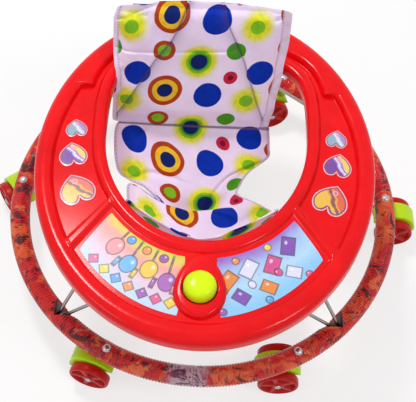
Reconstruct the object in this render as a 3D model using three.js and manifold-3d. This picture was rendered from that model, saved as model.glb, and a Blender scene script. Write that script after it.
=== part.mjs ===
// Baby activity walker, in millimetres, +Z up, front of the walker towards -Y.
// The origin lies on the floor, below the middle of the walker's footprint.
import * as THREE from 'three';
import { mergeVertices } from 'three/addons/utils/BufferGeometryUtils.js';
import Module from 'manifold-3d';

const wasm = await Module();
wasm.setup();

// Clearances and cutting overrun, shared by every piece
const seatGap = 0.3;
const runningGap = 0.4;
const overrun = 2;

// Base ring: a steel tube in a ribbed sleeve, height measured to its centreline
const ringRadius = 280;
const ringHeight = 81;
const tubeRadius = 11.5;
const tubeWall = 1.2;
const sleeveBoreGap = 0.4;
const sleeveRibRadius = 14.8;
const sleeveGrooveRadius = 13.8;
const ringSides = 8;
const tubeStepAngle = 7.5;
const ribAngle = 3.75;

// Sleeve lengths between their joints, as angles round the ring
const sleeveSpans = [
  { name: 'sleeve_left', from: 142.5, to: 270 },
  { name: 'sleeve_right', from: 270, to: 397.5 },
  { name: 'sleeve_rear', from: 37.5, to: 142.5 },
];

// Hollow stretches of the base tube, as angles round the ring
const hollowSpans = [[-37.5, 30], [52.5, 127.5], [150, 217.5], [232.5, 307.5]];

// Twin wheel casters, as high as the ring lets them be
const wheelRadiusShare = 0.3642;
const wheelRadius = ringHeight * wheelRadiusShare;
const wheelWidth = 13;
const wheelSides = 20;
const wheelRimWall = 4;
const wheelHubRadius = 8;
const wheelPocketDepth = 5;
const wheelPocketCount = 5;
const wheelPocketShare = 0.62;
const casterTrailShare = 0.763;
const casterTrail = wheelRadius * casterTrailShare;
const axleRadius = 2;
const axleHeadRadius = 4.5;
const axleHeadHeight = 2;
const axleSides = 6;
const axleBoreSides = 8;
const hoodWidth = 28;
const hoodHeadroom = 1.9;
const hoodTop = ringHeight - sleeveRibRadius - seatGap;
const hoodReach = hoodTop - hoodHeadroom - wheelRadius;
const hoodTipAngle = -7;
const hoodHubAngle = 162;
const hoodHubRadius = 8;
const hoodPostRadius = 7;
const hoodPostRise = 12.5;
const hoodPostFoot = wheelRadius + hoodPostRise;
const hoodPostSides = 12;
const wheelSideGap = 0.7;
const rivetRadius = 3;
const rivetHeadRadius = 6;
const rivetHeadHeight = 3;
const rivetCrownShares = [0.8, 0.7];
const rivetFlareRadius = 4.6;
const rivetFlareHeight = 1.6;
const rivetSides = 8;

// Casters by their place on the ring and the way that they trail, in degrees
const casters = [
  { name: 'right', place: 3.5, trail: 0 },
  { name: 'rear_right', place: 63.5, trail: 197 },
  { name: 'rear_left', place: 116.5, trail: 20 },
  { name: 'left', place: 175.5, trail: 127 },
  { name: 'front_left', place: 243.5, trail: 165 },
  { name: 'front_right', place: 300, trail: 180 },
];

// Wire leg frames: W shapes whose bends hinge in slots of the base tube
const wireRadius = 2.5;
const wireSides = 8;
const wireBendRadius = 8;
const wireEndBendRadius = 5;
const wireHookRadius = 4;
const wireBendStep = 28;
const hookPasses = 12;
const legRise = 155;
const legLeanShare = 0.04286;
const legLean = ringRadius * legLeanShare;
const middleBarHalf = 15;
const wirePinLength = 24;
const frontLegs = { name: 'front_legs', place: 45, endShare: 0.493, slotReach: 30 };
const rearLegs = { name: 'rear_legs', place: 35, endShare: 0.379, slotReach: 40 };
const slotClearance = 2;
const slotBehind = 36;
const slotAhead = 5;
const slotTop = 24;
const foldAngle = 55;

// Clips that hold the wires under the tray
const clipWidth = 11;
const clipHalfDepth = 6.5;
const clipFootDepth = 15;
const clipFootHeight = 3;
const clipEyeSides = 8;

// Tray: a thin moulded shell with a rounded rim, a channel and an inner lip
const trayTop = 276;
const trayWall = 3;
const trayShares = { side: 0.8125, front: 0.9732, rear: 0.9643, centre: -0.1607 };
const holeShares = { side: 0.4893, front: 0.6036, rear: 0.4821, centre: -0.0179 };
const trayHalfWidth = ringRadius * trayShares.side;
const trayFront = ringRadius * trayShares.front;
const trayRear = ringRadius * trayShares.rear;
const trayCentreY = ringRadius * trayShares.centre;
const holeHalfWidth = ringRadius * holeShares.side;
const holeFront = ringRadius * holeShares.front;
const holeRear = ringRadius * holeShares.rear;
const holeCentreY = ringRadius * holeShares.centre;
const holeCornerShare = 0.25;
const rimWidth = 28;
const rearRimShare = 0.526;
const rearRimWidth = (trayCentreY + trayRear - holeCentreY - holeRear) * rearRimShare;
const lipWidth = 20;
const channelLeast = 6;
const rimDepth = 25;
const rimSide = 9;
const rimShoulder = 4;
const lipDepth = 18;
const channelDrop = 9;
const panelDrop = 5;
const ribDrop = 0.8;
const edgeRound = 3;
const panelAngle = 37;
const panelRibAngle = 2.5;
const rearRimAngle = 27;
const rearRimStepAngle = 2;
const trayStepAngle = 7.5;

// Two recessed picture panels and six heart plates
const pocketDepth = 1.2;
const labelThickness = 0.6;
const labelGap = 1;
const labelOuterInset = 35;
const labelInnerInset = 27;
const labelEndAngle = 41;
const labelBossAngle = 83;
const labelSteps = 6;
const heartSegments = 3;
const heartRows = [
  { row: 'rear', place: 6, share: 0.65, turn: 8 },
  { row: 'middle', place: -6, share: 0.68, turn: 12 },
  { row: 'front', place: -21, share: 0.7, turn: 24 },
];

// Squeaker button in its pear shaped boss
const buttonPlaceShare = -0.875;
const buttonY = ringRadius * buttonPlaceShare;
const buttonRadius = 20.5;
const buttonTravel = 4;
const buttonSkirt = 7;
const buttonDome = 10;
const buttonWall = 3;
const buttonCrownShares = [[0.87, 0.45], [0.55, 0.85]];
const buttonSides = 16;
const stemRadius = 4.5;
const stemLength = 20;
const collarRadius = 6.5;
const collarHeight = 2;
const bossTopWidth = 30;
const bossFootWidth = 35;
const bossLengthShare = 1.18;
const bossRise = 3;
const springRadius = 10;
const springWire = 0.7;
const springTurns = 4;
const springSteps = 7;
const springSides = 4;
const caseRadius = 26;
const caseWall = 2;
const caseDepth = 24;
const caseSides = 14;
const bossSides = 24;
const stemSides = 12;

// Seat: a padded back on a board, and a sling between the back and the tray's front
const seatShift = -10;
const backHalfWidth = 112;
const backLength = 187;
const backLeanAngle = 20;
const backFootInset = 64;
const backFootHeight = 199;
const backFoot = new THREE.Vector2(holeCentreY + holeRear - backFootInset, backFootHeight);
const backThickness = 11;
const backEdgeThickness = 4;
const backCrown = 5;
const backCornerRadius = 26;
const backSeamShare = 0.63;
const backSeamHalfWidth = 6;
const backSeamDepth = 2.5;
const backColumns = 8;
const backCornerSteps = 3;
const backRowShares = [0.5, 1];
const boardThickness = 3;
const boardHalfWidth = 98;
const boardMargin = 8;
const boardFootHalfWidth = 46;
const boardFootReach = 18;
const slingThickness = 3.5;
const slingCurl = 16;
const slingFoldDepth = 2.2;
const slingFoldCount = 3;
const slingRimInset = 4;
const slingColumns = 10;
const slingRows = 22;

// The sling's line from its seam with the back, under the child, to the tray's front wall:
// sideways, forwards through the hole, down from the tray's top, and its spread
const slingShares = [
  { shift: 1.4, fore: -0.385, sink: 0.7, spread: 1.02 },
  { shift: 1.8, fore: -0.278, sink: 0.895, spread: 0.98 },
  { shift: 2, fore: -0.03, sink: 1, spread: 0.82 },
  { shift: 1.8, fore: 0.266, sink: 0.94, spread: 0.69 },
  { shift: 1.4, fore: 0.533, sink: 0.675, spread: 0.69 },
  { shift: 0.8, fore: 0.74, sink: 0.39, spread: 0.8 },
  { shift: 0.4, fore: 0.87, sink: 0.22, spread: 0.85 },
  { shift: 0.2, fore: 0.976, sink: 0.065, spread: 0.86 },
];
const slingDepth = 154;
const slingHipShare = 0.803;
const slingHipHalfWidth = holeHalfWidth * slingHipShare;
const slingWallHeight = 70;
const slingTuckDepth = 20;

const degree = Math.PI / 180;
const silver = { color: 0xc9ccd0, metalness: 0.95, roughness: 0.22 };
const redPlastic = { color: 0xe20d12, metalness: 0, roughness: 0.22 };
const wheelRed = { color: 0xc81e10, metalness: 0, roughness: 0.4 };
const limePlastic = { color: 0xbfe11a, metalness: 0, roughness: 0.35 };
const marbledSleeve = { color: 0xb8352a, metalness: 0, roughness: 0.3 };
const printedFabric = { color: 0xe6dcf2, metalness: 0, roughness: 0.85 };
const paperLabel = { color: 0xcfe4f5, metalness: 0, roughness: 0.4 };
const heartLabel = { color: 0xd9a3dc, metalness: 0, roughness: 0.3 };
const darkPlastic = { color: 0x2c2c30, metalness: 0, roughness: 0.5 };

const walker = new THREE.Group();
const assembly = new THREE.Group();
walker.add(assembly);

function addPiece(name, geometry, finish, parent = assembly) {
  const piece = new THREE.Mesh(geometry, new THREE.MeshStandardMaterial(finish));
  piece.name = name;
  parent.add(piece);
  return piece;
}

function signedVolume(geometry) {
  const points = geometry.attributes.position;
  const index = geometry.index;
  const a = new THREE.Vector3();
  const b = new THREE.Vector3();
  const c = new THREE.Vector3();
  let volume = 0;
  for (let i = 0; i < index.count; i += 3) {
    a.fromBufferAttribute(points, index.getX(i));
    b.fromBufferAttribute(points, index.getX(i + 1));
    c.fromBufferAttribute(points, index.getX(i + 2));
    volume += a.dot(b.cross(c));
  }
  return volume;
}

// A closed skin over rows of points; each row is a closed loop of as many points.
// Rows that join up make a ring. The others make a sheet, capped by strips at both ends,
// whose under side is split into triangles the same way as its upper side.
function closedSkin(rows, joinsUp) {
  const columns = rows[0].length;
  const spans = joinsUp ? rows.length : rows.length - 1;
  const faces = [];
  for (let i = 0; i < spans; i += 1) {
    for (let j = 0; j < columns; j += 1) {
      const k = (j + 1) % columns;
      const here = i * columns;
      const next = ((i + 1) % rows.length) * columns;
      const under = !joinsUp && j >= columns / 2;
      faces.push(here + j, here + k, under ? next + j : next + k);
      faces.push(under ? here + k : here + j, next + k, next + j);
    }
  }
  if (!joinsUp) {
    const last = (rows.length - 1) * columns;
    for (let j = 0; j < columns / 2 - 1; j += 1) {
      const far = columns - 1 - j;
      faces.push(far, j + 1, j);
      faces.push(far, far - 1, j + 1);
      faces.push(last + far, last + j, last + j + 1);
      faces.push(last + far, last + j + 1, last + far - 1);
    }
  }
  const geometry = new THREE.BufferGeometry();
  const places = rows.flat().flatMap((point) => [point.x, point.y, point.z]);
  geometry.setAttribute('position', new THREE.Float32BufferAttribute(places, 3));
  geometry.setIndex(faces);
  if (signedVolume(geometry) < 0) {
    faces.reverse();
    geometry.setIndex(faces);
  }
  return geometry;
}

function toSolid(geometry) {
  const bare = geometry.clone();
  bare.deleteAttribute('normal');
  bare.deleteAttribute('uv');
  const merged = mergeVertices(bare, 1e-4);
  const vertProperties = new Float32Array(merged.attributes.position.array);
  const triVerts = new Uint32Array(merged.index.array);
  return new wasm.Manifold(new wasm.Mesh({ numProp: 3, vertProperties, triVerts }));
}

function toGeometry(solid) {
  const mesh = solid.getMesh();
  const geometry = new THREE.BufferGeometry();
  geometry.setAttribute('position', new THREE.BufferAttribute(mesh.vertProperties, 3));
  geometry.setIndex(new THREE.BufferAttribute(mesh.triVerts, 1));
  return geometry;
}

function cutAway(geometry, cutters) {
  let solid = toSolid(geometry);
  for (const cutter of cutters) solid = solid.subtract(toSolid(cutter));
  return toGeometry(solid);
}

function joinTo(geometry, additions) {
  let solid = toSolid(geometry);
  for (const addition of additions) solid = solid.add(toSolid(addition));
  return toGeometry(solid);
}

// A regular polygon with flats that lie a given radius from its middle
function flatPolygon(radius, sides) {
  const corner = radius / Math.cos(Math.PI / sides);
  return Array.from({ length: sides }, (_, k) => {
    const angle = (2 * k + 1) * Math.PI / sides;
    return new THREE.Vector2(corner * Math.cos(angle), corner * Math.sin(angle));
  });
}

function extrudeAlongX(outline, fromX, toX) {
  const shape = outline instanceof THREE.Shape ? outline : new THREE.Shape(outline);
  const geometry = new THREE.ExtrudeGeometry(shape, {
    depth: toX - fromX, bevelEnabled: false, curveSegments: 4,
  });
  geometry.rotateY(Math.PI / 2);
  geometry.rotateX(Math.PI / 2);
  geometry.translate(fromX, 0, 0);
  return geometry;
}

function uprightRod(radius, fromZ, toZ, sides) {
  const shape = new THREE.Shape(flatPolygon(radius, sides));
  const geometry = new THREE.ExtrudeGeometry(shape, { depth: toZ - fromZ, bevelEnabled: false });
  geometry.translate(0, 0, fromZ);
  return geometry;
}

// A lathe profile in radius and height, turned about the Z axis
function turned(profile, sides) {
  const points = profile.map(([radius, height]) => new THREE.Vector2(radius, height));
  const geometry = new THREE.LatheGeometry(points, sides);
  geometry.rotateX(Math.PI / 2);
  geometry.rotateZ(Math.PI / sides);
  return geometry;
}

function ringPlace(angle, radial, height) {
  const reach = ringRadius + radial;
  const turn = angle * degree;
  return new THREE.Vector3(reach * Math.cos(turn), reach * Math.sin(turn), ringHeight + height);
}

function ringSection(angle, radius) {
  return flatPolygon(radius, ringSides).map((point) => ringPlace(angle, point.x, point.y));
}

// Slots in the tube and the sleeve, open to the rear, where the wire hooks in and swings
function slotCutter(legs, side) {
  const floor = -wireRadius - slotClearance;
  const rise = Math.tan((90 - foldAngle) * degree - Math.atan2(legLean, legRise));
  const outline = [
    new THREE.Vector2(-slotAhead, floor),
    new THREE.Vector2(slotAhead, floor),
    new THREE.Vector2(slotBehind, floor + rise * (slotBehind - slotAhead)),
    new THREE.Vector2(slotBehind, slotTop),
    new THREE.Vector2(-slotAhead, slotTop),
  ];
  const pivot = legPivot(legs);
  const outer = pivot.x + wireHookRadius + slotClearance;
  const inner = pivot.x - legs.slotReach;
  const geometry = side > 0
    ? extrudeAlongX(outline, inner, outer)
    : extrudeAlongX(outline, -outer, -inner);
  geometry.translate(0, pivot.y, pivot.z);
  return geometry;
}

function legPivot(legs) {
  const forward = legs === frontLegs ? -1 : 1;
  const x = ringRadius * Math.cos(legs.place * degree);
  const y = forward * ringRadius * Math.sin(legs.place * degree);
  return new THREE.Vector3(x, y, ringHeight);
}

const slotCutters = [frontLegs, rearLegs].flatMap((legs) => [slotCutter(legs, 1), slotCutter(legs, -1)]);

function rivetCutter(caster) {
  const centre = ringPlace(caster.place, 0, 0);
  const reach = sleeveRibRadius + overrun;
  const geometry = uprightRod(rivetRadius + runningGap, -reach, reach, rivetSides);
  geometry.translate(centre.x, centre.y, centre.z);
  return geometry;
}

const rivetCutters = casters.map(rivetCutter);

// A stretch of the ring's round bar, capped at both ends
function ringBar(from, to, radius) {
  const steps = Math.round((to - from) / tubeStepAngle);
  const sections = Array.from({ length: steps + 1 }, (_, k) => (
    ringSection(from + k * tubeStepAngle, radius)
  ));
  return closedSkin(sections, false);
}

// The tube is plugged where the wires hinge, and its hollows open at the rivet holes
function baseTube() {
  const sections = Array.from({ length: 360 / tubeStepAngle }, (_, k) => (
    ringSection(k * tubeStepAngle, tubeRadius)
  ));
  const hollows = hollowSpans.map(([from, to]) => ringBar(from, to, tubeRadius - tubeWall));
  return cutAway(closedSkin(sections, true), [...hollows, ...slotCutters, ...rivetCutters]);
}

// A sleeve's eight long lines run out along its ribs and back along its bore
function ribbedSleeve(span) {
  const trim = seatGap / 2 / ringRadius / degree;
  const inside = (angle) => THREE.MathUtils.clamp(angle, span.from + trim, span.to - trim);
  const rings = [];
  const ribs = Math.round((span.to - span.from) / ribAngle);
  const pitch = (span.to - span.from) / ribs;
  for (let k = 0; k < ribs; k += 1) {
    rings.push(ringSection(inside(span.from + k * pitch), sleeveGrooveRadius));
    rings.push(ringSection(inside(span.from + (k + 0.5) * pitch), sleeveRibRadius));
  }
  rings.push(ringSection(inside(span.to), sleeveGrooveRadius));
  for (let angle = span.to; angle >= span.from; angle -= tubeStepAngle) {
    rings.push(ringSection(inside(angle), tubeRadius + sleeveBoreGap));
  }
  const lines = Array.from({ length: ringSides }, (_, k) => rings.map((ring) => ring[k]));
  return cutAway(closedSkin(lines, true), [...slotCutters, ...rivetCutters]);
}

addPiece('base_tube', baseTube(), silver);
for (const span of sleeveSpans) addPiece(span.name, ribbedSleeve(span), marbledSleeve);

// Caster pieces are made about the axle or the rivet and placed by their groups
function casterWheel() {
  const rim = new THREE.Shape(flatPolygon(wheelRadius, wheelSides));
  rim.holes.push(new THREE.Path(flatPolygon(axleRadius + runningGap, axleBoreSides)));
  const disc = new THREE.ExtrudeGeometry(rim, { depth: wheelWidth, bevelEnabled: false });
  const pockets = [];
  for (let k = 0; k < wheelPocketCount; k += 1) {
    const span = 2 * Math.PI / wheelPocketCount * wheelPocketShare;
    const outer = wheelRadius - wheelRimWall;
    const shape = new THREE.Shape();
    shape.absarc(0, 0, outer, 0, span, false);
    shape.absarc(0, 0, wheelHubRadius, span, 0, true);
    const depth = wheelPocketDepth + overrun;
    const pocket = new THREE.ExtrudeGeometry(shape, { depth, bevelEnabled: false, curveSegments: 1 });
    pocket.translate(0, 0, wheelWidth - wheelPocketDepth);
    pocket.rotateZ(k * 2 * Math.PI / wheelPocketCount);
    pockets.push(pocket);
  }
  const wheel = cutAway(disc, pockets);
  wheel.rotateX(Math.PI / 2);
  return wheel;
}

function casterAxle() {
  const half = hoodWidth / 2 + wheelSideGap + wheelWidth + seatGap;
  const axle = turned([
    [0, -half - axleHeadHeight],
    [axleHeadRadius, -half - axleHeadHeight],
    [axleHeadRadius, -half],
    [axleRadius, -half],
    [axleRadius, half],
    [axleHeadRadius, half],
    [axleHeadRadius, half + axleHeadHeight],
    [0, half + axleHeadHeight],
  ], axleSides);
  axle.rotateX(Math.PI / 2);
  return axle;
}

// Hood: a curved guard over the gap between the wheels, with a hub and an upright post
function casterHood() {
  const leadAngle = Math.PI - Math.asin(hoodPostRise / hoodReach);
  const outline = new THREE.Shape();
  outline.moveTo(hoodPostRadius, hoodPostFoot);
  outline.lineTo(casterTrail - hoodHubRadius, wheelRadius);
  outline.absarc(casterTrail, wheelRadius, hoodHubRadius, Math.PI, Math.PI + hoodHubAngle * degree, false);
  outline.absarc(casterTrail, wheelRadius, hoodReach, hoodTipAngle * degree, leadAngle, false);
  const plate = new THREE.ExtrudeGeometry(outline, {
    depth: hoodWidth, bevelEnabled: false, curveSegments: 4,
  });
  plate.rotateX(Math.PI / 2);
  plate.translate(0, hoodWidth / 2, 0);
  const post = uprightRod(hoodPostRadius, hoodPostFoot, hoodTop, hoodPostSides);
  const boreRadius = rivetRadius + runningGap;
  const rivetBore = uprightRod(boreRadius, hoodPostFoot - overrun, hoodTop + overrun, rivetSides);
  const axleBore = uprightRod(axleRadius + runningGap, -hoodWidth, hoodWidth, axleBoreSides);
  axleBore.rotateX(Math.PI / 2);
  axleBore.translate(casterTrail, 0, wheelRadius);
  return cutAway(joinTo(plate, [post]), [rivetBore, axleBore]);
}

function casterRivet() {
  const headFoot = ringHeight + sleeveRibRadius + seatGap;
  const [crownRadius, crownHeight] = rivetCrownShares;
  const flareTop = hoodPostFoot - seatGap;
  return turned([
    [0, flareTop - rivetFlareHeight],
    [rivetFlareRadius, flareTop - rivetFlareHeight],
    [rivetFlareRadius, flareTop],
    [rivetRadius, flareTop],
    [rivetRadius, headFoot],
    [rivetHeadRadius, headFoot],
    [rivetHeadRadius * crownRadius, headFoot + rivetHeadHeight * crownHeight],
    [0, headFoot + rivetHeadHeight],
  ], rivetSides);
}

const wheelShape = casterWheel();
const hoodShape = casterHood();
const axleShape = casterAxle();
const rivetShape = casterRivet();

for (const caster of casters) {
  const place = ringPlace(caster.place, 0, 0);
  const swivel = new THREE.Group();
  swivel.position.set(place.x, place.y, 0);
  swivel.rotation.z = caster.trail * degree;
  assembly.add(swivel);
  const rivet = addPiece(`caster_rivet_${caster.name}`, rivetShape, silver);
  rivet.position.set(place.x, place.y, 0);
  addPiece(`caster_hood_${caster.name}`, hoodShape, limePlastic, swivel);
  const axle = addPiece(`caster_axle_${caster.name}`, axleShape, silver, swivel);
  axle.position.set(casterTrail, 0, wheelRadius);
  for (const side of [-1, 1]) {
    const label = side < 0 ? 'a' : 'b';
    const wheel = addPiece(`wheel_${caster.name}_${label}`, wheelShape, wheelRed, swivel);
    const inner = hoodWidth / 2 + wheelSideGap;
    wheel.position.set(casterTrail, side * inner, wheelRadius);
    wheel.rotation.z = side > 0 ? Math.PI : 0;
  }
}

// A wire through chosen corners, each rounded by an arc of a few straight steps
class BentWire extends THREE.Curve {
  constructor(corners, bends) {
    super();
    this.points = [corners[0]];
    for (let k = 1; k < corners.length - 1; k += 1) {
      this.points.push(...BentWire.bend(corners[k - 1], corners[k], corners[k + 1], bends[k - 1]));
    }
    this.points.push(corners[corners.length - 1]);
  }

  static bend(before, corner, after, radius) {
    const inward = before.clone().sub(corner).normalize();
    const outward = after.clone().sub(corner).normalize();
    const half = inward.angleTo(outward) / 2;
    const middle = inward.clone().add(outward).normalize();
    const centre = corner.clone().addScaledVector(middle, radius / Math.sin(half));
    const start = corner.clone().addScaledVector(inward, radius / Math.tan(half)).sub(centre);
    const end = corner.clone().addScaledVector(outward, radius / Math.tan(half)).sub(centre);
    const turn = start.angleTo(end);
    const steps = Math.max(2, Math.ceil(turn / (wireBendStep * degree)));
    const axis = start.clone().cross(end).normalize();
    return Array.from({ length: steps + 1 }, (_, k) => (
      start.clone().applyAxisAngle(axis, turn * k / steps).add(centre)
    ));
  }

  getPoint(t) {
    const spans = this.points.length - 1;
    const k = Math.min(Math.floor(t * spans + 1e-9), spans - 1);
    return this.points[k].clone().lerp(this.points[k + 1], t * spans - k);
  }

  getPointAt(u) {
    return this.getPoint(u);
  }

  getTangentAt(u) {
    const spans = this.points.length - 1;
    const k = Math.round(u * spans);
    const before = this.points[Math.max(k - 1, 0)];
    const here = this.points[k];
    const after = this.points[Math.min(k + 1, spans)];
    const arriving = here.clone().sub(before).normalize();
    const leaving = after.clone().sub(here).normalize();
    return arriving.add(leaving).normalize();
  }
}

// The corner whose rounded bend rests on the pivot, found in a few steps
function hookCorner(pivot, ends) {
  const corner = pivot.clone();
  for (let pass = 0; pass < hookPasses; pass += 1) {
    const arms = ends.map((end) => end.clone().sub(corner).normalize());
    const half = arms[0].angleTo(arms[1]) / 2;
    const middle = arms[0].clone().add(arms[1]).normalize();
    corner.copy(pivot).addScaledVector(middle, wireHookRadius - wireHookRadius / Math.sin(half));
  }
  return corner;
}

// A leg frame lies in a plane through its two hooks; height runs along the leaning legs
function legFrame(legs) {
  const pivot = legPivot(legs);
  const along = new THREE.Vector3(0, legLean, legRise).normalize();
  const legHeight = Math.hypot(legLean, legRise);
  const endX = ringRadius * legs.endShare;
  const at = (x, height) => new THREE.Vector3(x, pivot.y, pivot.z).addScaledVector(along, height);
  const right = hookCorner(at(pivot.x, 0), [at(middleBarHalf, legHeight), at(endX, legHeight)]);
  const left = right.clone().setX(-right.x);
  const corners = [
    at(-endX + wirePinLength, legHeight),
    at(-endX, legHeight),
    left,
    at(-middleBarHalf, legHeight),
    at(middleBarHalf, legHeight),
    right,
    at(endX, legHeight),
    at(endX - wirePinLength, legHeight),
  ];
  const half = [wireEndBendRadius, wireHookRadius, wireBendRadius];
  const bends = [...half, ...half.toReversed()];
  const wire = new BentWire(corners, bends);
  const section = new THREE.Shape(flatPolygon(wireRadius, wireSides));
  const steps = wire.points.length - 1;
  return new THREE.ExtrudeGeometry(section, { extrudePath: wire, steps, bevelEnabled: false });
}

for (const legs of [frontLegs, rearLegs]) addPiece(legs.name, legFrame(legs), silver);

// Tray outlines: two half ellipses outside, and a hole that is squarer at its rear
function trayOuter(angle) {
  const length = Math.sin(angle) > 0 ? trayRear : trayFront;
  return new THREE.Vector2(trayHalfWidth * Math.cos(angle), trayCentreY + length * Math.sin(angle));
}

function trayInner(angle) {
  const rise = Math.sin(angle);
  const across = Math.cos(angle);
  if (rise <= 0) {
    return new THREE.Vector2(holeHalfWidth * across, holeCentreY + holeFront * rise);
  }
  const power = 1 / holeCornerShare;
  const share = (Math.abs(across) ** power + rise ** power) ** -holeCornerShare;
  return new THREE.Vector2(holeHalfWidth * across * share, holeCentreY + holeRear * rise * share);
}

function trayPlace(angle, fromOuter, height) {
  const outer = trayOuter(angle);
  const inward = trayInner(angle).sub(outer).normalize();
  const place = outer.addScaledVector(inward, fromOuter);
  return new THREE.Vector3(place.x, place.y, trayTop + height);
}

function trayBand(angle) {
  return trayInner(angle).distanceTo(trayOuter(angle));
}

// How far the floor lies below the crest: panel in front, channel beside, rib between
function floorDrop(angleDegrees) {
  const forward = angleDegrees < -panelAngle && angleDegrees > panelAngle - 180;
  const toRib = Math.min(Math.abs(angleDegrees + panelAngle), Math.abs(angleDegrees + 180 - panelAngle));
  if (toRib < panelRibAngle / 2) return ribDrop;
  return forward ? panelDrop : channelDrop;
}

function rimWidthAt(angleDegrees) {
  const rearward = angleDegrees > rearRimAngle && angleDegrees < 180 - rearRimAngle;
  return rearward ? rearRimWidth : rimWidth;
}

// One closed cross-section of the shell: over the top from the rim to the hole, and back below
function traySection(angleDegrees) {
  const angle = angleDegrees * degree;
  const band = trayBand(angle);
  const rim = Math.min(rimWidthAt(angleDegrees), band - lipWidth - channelLeast);
  const drop = floorDrop(angleDegrees);
  const lip = band - lipWidth;
  const wall = trayWall;
  const outline = [
    [edgeRound, -rimDepth],
    [0, -rimDepth + rimSide],
    [0, -rimSide],
    [rimShoulder, -edgeRound],
    [3 * rimShoulder, 0],
    [rim - 2 * rimShoulder, -edgeRound / 4],
    [rim - edgeRound, -Math.min(edgeRound, drop / 2)],
    [rim, -drop],
    [lip, -drop],
    [lip + edgeRound, -Math.min(edgeRound, drop / 2)],
    [lip + 2 * rimShoulder, 0],
    [band - rimShoulder, -edgeRound / 2],
    [band, -2 * edgeRound],
    [band, -lipDepth],
    [band - wall, -lipDepth],
    [band - wall, -2 * edgeRound - wall / 2],
    [band - wall - rimShoulder, -edgeRound / 2 - wall],
    [lip + 2 * rimShoulder, -edgeRound / 2 - wall],
    [lip + edgeRound, -drop - wall],
    [rim - edgeRound, -drop - wall],
    [rim - 2 * rimShoulder, -edgeRound / 2 - wall],
    [3 * rimShoulder, -edgeRound / 2 - wall],
    [wall, -rimSide - wall],
    [wall + edgeRound, -rimDepth],
  ];
  return outline.map(([fromOuter, height]) => trayPlace(angle, fromOuter, height));
}

function trayAngles() {
  const ribs = [panelAngle - 180, -panelAngle];
  const steps = [rearRimAngle, 180 - rearRimAngle];
  const angles = [];
  for (let angle = -180; angle < 180; angle += trayStepAngle) {
    const nearRib = ribs.some((rib) => Math.abs(angle - rib) < 2 * panelRibAngle);
    const nearStep = steps.some((step) => Math.abs(angle - step) < 2 * rearRimStepAngle);
    if (!nearRib && !nearStep) angles.push(angle);
  }
  for (const rib of ribs) angles.push(rib - panelRibAngle, rib, rib + panelRibAngle);
  for (const step of steps) angles.push(step - rearRimStepAngle / 2, step + rearRimStepAngle / 2);
  return angles.sort((a, b) => a - b);
}

// A picture panel is a curved band between the rim and the lip, cut short at the boss
function labelOutline(side, inset) {
  const outline = [];
  const insetAngle = inset / trayFront / degree;
  const start = labelEndAngle + insetAngle;
  const end = labelBossAngle - insetAngle;
  const place = (share, fromOuter) => {
    const angle = -(start + (end - start) * share) * degree;
    const point = trayPlace(angle, fromOuter, 0);
    return new THREE.Vector2(side * point.x, point.y);
  };
  for (let k = 0; k <= labelSteps; k += 1) {
    outline.push(place(k / labelSteps, labelOuterInset + inset));
  }
  for (let k = labelSteps; k >= 0; k -= 1) {
    const share = k / labelSteps;
    const angle = -(start + (end - start) * share) * degree;
    outline.push(place(share, trayBand(angle) - labelInnerInset - inset));
  }
  return new THREE.Shape(outline);
}

function labelSolid(side, inset, fromZ, toZ) {
  const depth = toZ - fromZ;
  const plate = new THREE.ExtrudeGeometry(labelOutline(side, inset), { depth, bevelEnabled: false });
  plate.translate(0, 0, fromZ);
  const clear = uprightRod(bossFootWidth + labelGap + inset, fromZ - overrun, toZ + overrun, bossSides);
  clear.scale(1, bossLengthShare, 1);
  clear.translate(0, buttonY, 0);
  return cutAway(plate, [clear]);
}

const panelTop = trayTop - panelDrop;
const panelUnder = panelTop - trayWall;
const wellRadius = buttonRadius + runningGap + seatGap;

function pearBoss() {
  const boss = turned([
    [0, panelTop - trayWall / 2],
    [bossFootWidth, panelTop - trayWall / 2],
    [bossFootWidth, panelTop],
    [bossTopWidth, trayTop + bossRise - edgeRound / 2],
    [bossTopWidth - edgeRound, trayTop + bossRise],
    [0, trayTop + bossRise],
  ], bossSides);
  boss.scale(1, bossLengthShare, 1);
  boss.translate(0, buttonY, 0);
  return boss;
}

function trayShell() {
  const shell = closedSkin(trayAngles().map(traySection), true);
  const pockets = [-1, 1].map((side) => labelSolid(side, 0, panelTop - pocketDepth, trayTop));
  const well = uprightRod(wellRadius, panelTop, trayTop + buttonDome, bossSides);
  const stemBore = uprightRod(stemRadius + runningGap, panelUnder - overrun, trayTop, stemSides);
  const bores = [well, stemBore].map((bore) => bore.translate(0, buttonY, 0));
  return cutAway(joinTo(shell, [pearBoss()]), [...bores, ...pockets]);
}

addPiece('tray_shell', trayShell(), redPlastic);

const labelFoot = panelTop - pocketDepth + seatGap;
for (const [side, name] of [[-1, 'picture_panel_left'], [1, 'picture_panel_right']]) {
  addPiece(name, labelSolid(side, seatGap, labelFoot, labelFoot + labelThickness), paperLabel);
}

// A heart that points to the rear, drawn as shares of half its size
const heartPoints = [
  [[1.1, 0.35], [1, -0.4]],
  [[0.85, -1], [0.45, -1]],
  [[0.1, -1], [0, -0.62]],
];

function heartOutline(size) {
  const half = size / 2;
  const shape = new THREE.Shape();
  shape.moveTo(0, half);
  for (const [[cx, cy], [x, y]] of heartPoints) {
    shape.quadraticCurveTo(half * cx, half * cy, half * x, half * y);
  }
  const ends = [[0, 1], ...heartPoints.map((pair) => pair[1])];
  for (let k = heartPoints.length - 1; k >= 0; k -= 1) {
    const [cx, cy] = heartPoints[k][0];
    const [x, y] = ends[k];
    shape.quadraticCurveTo(-half * cx, half * cy, -half * x, half * y);
  }
  return shape;
}

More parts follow.
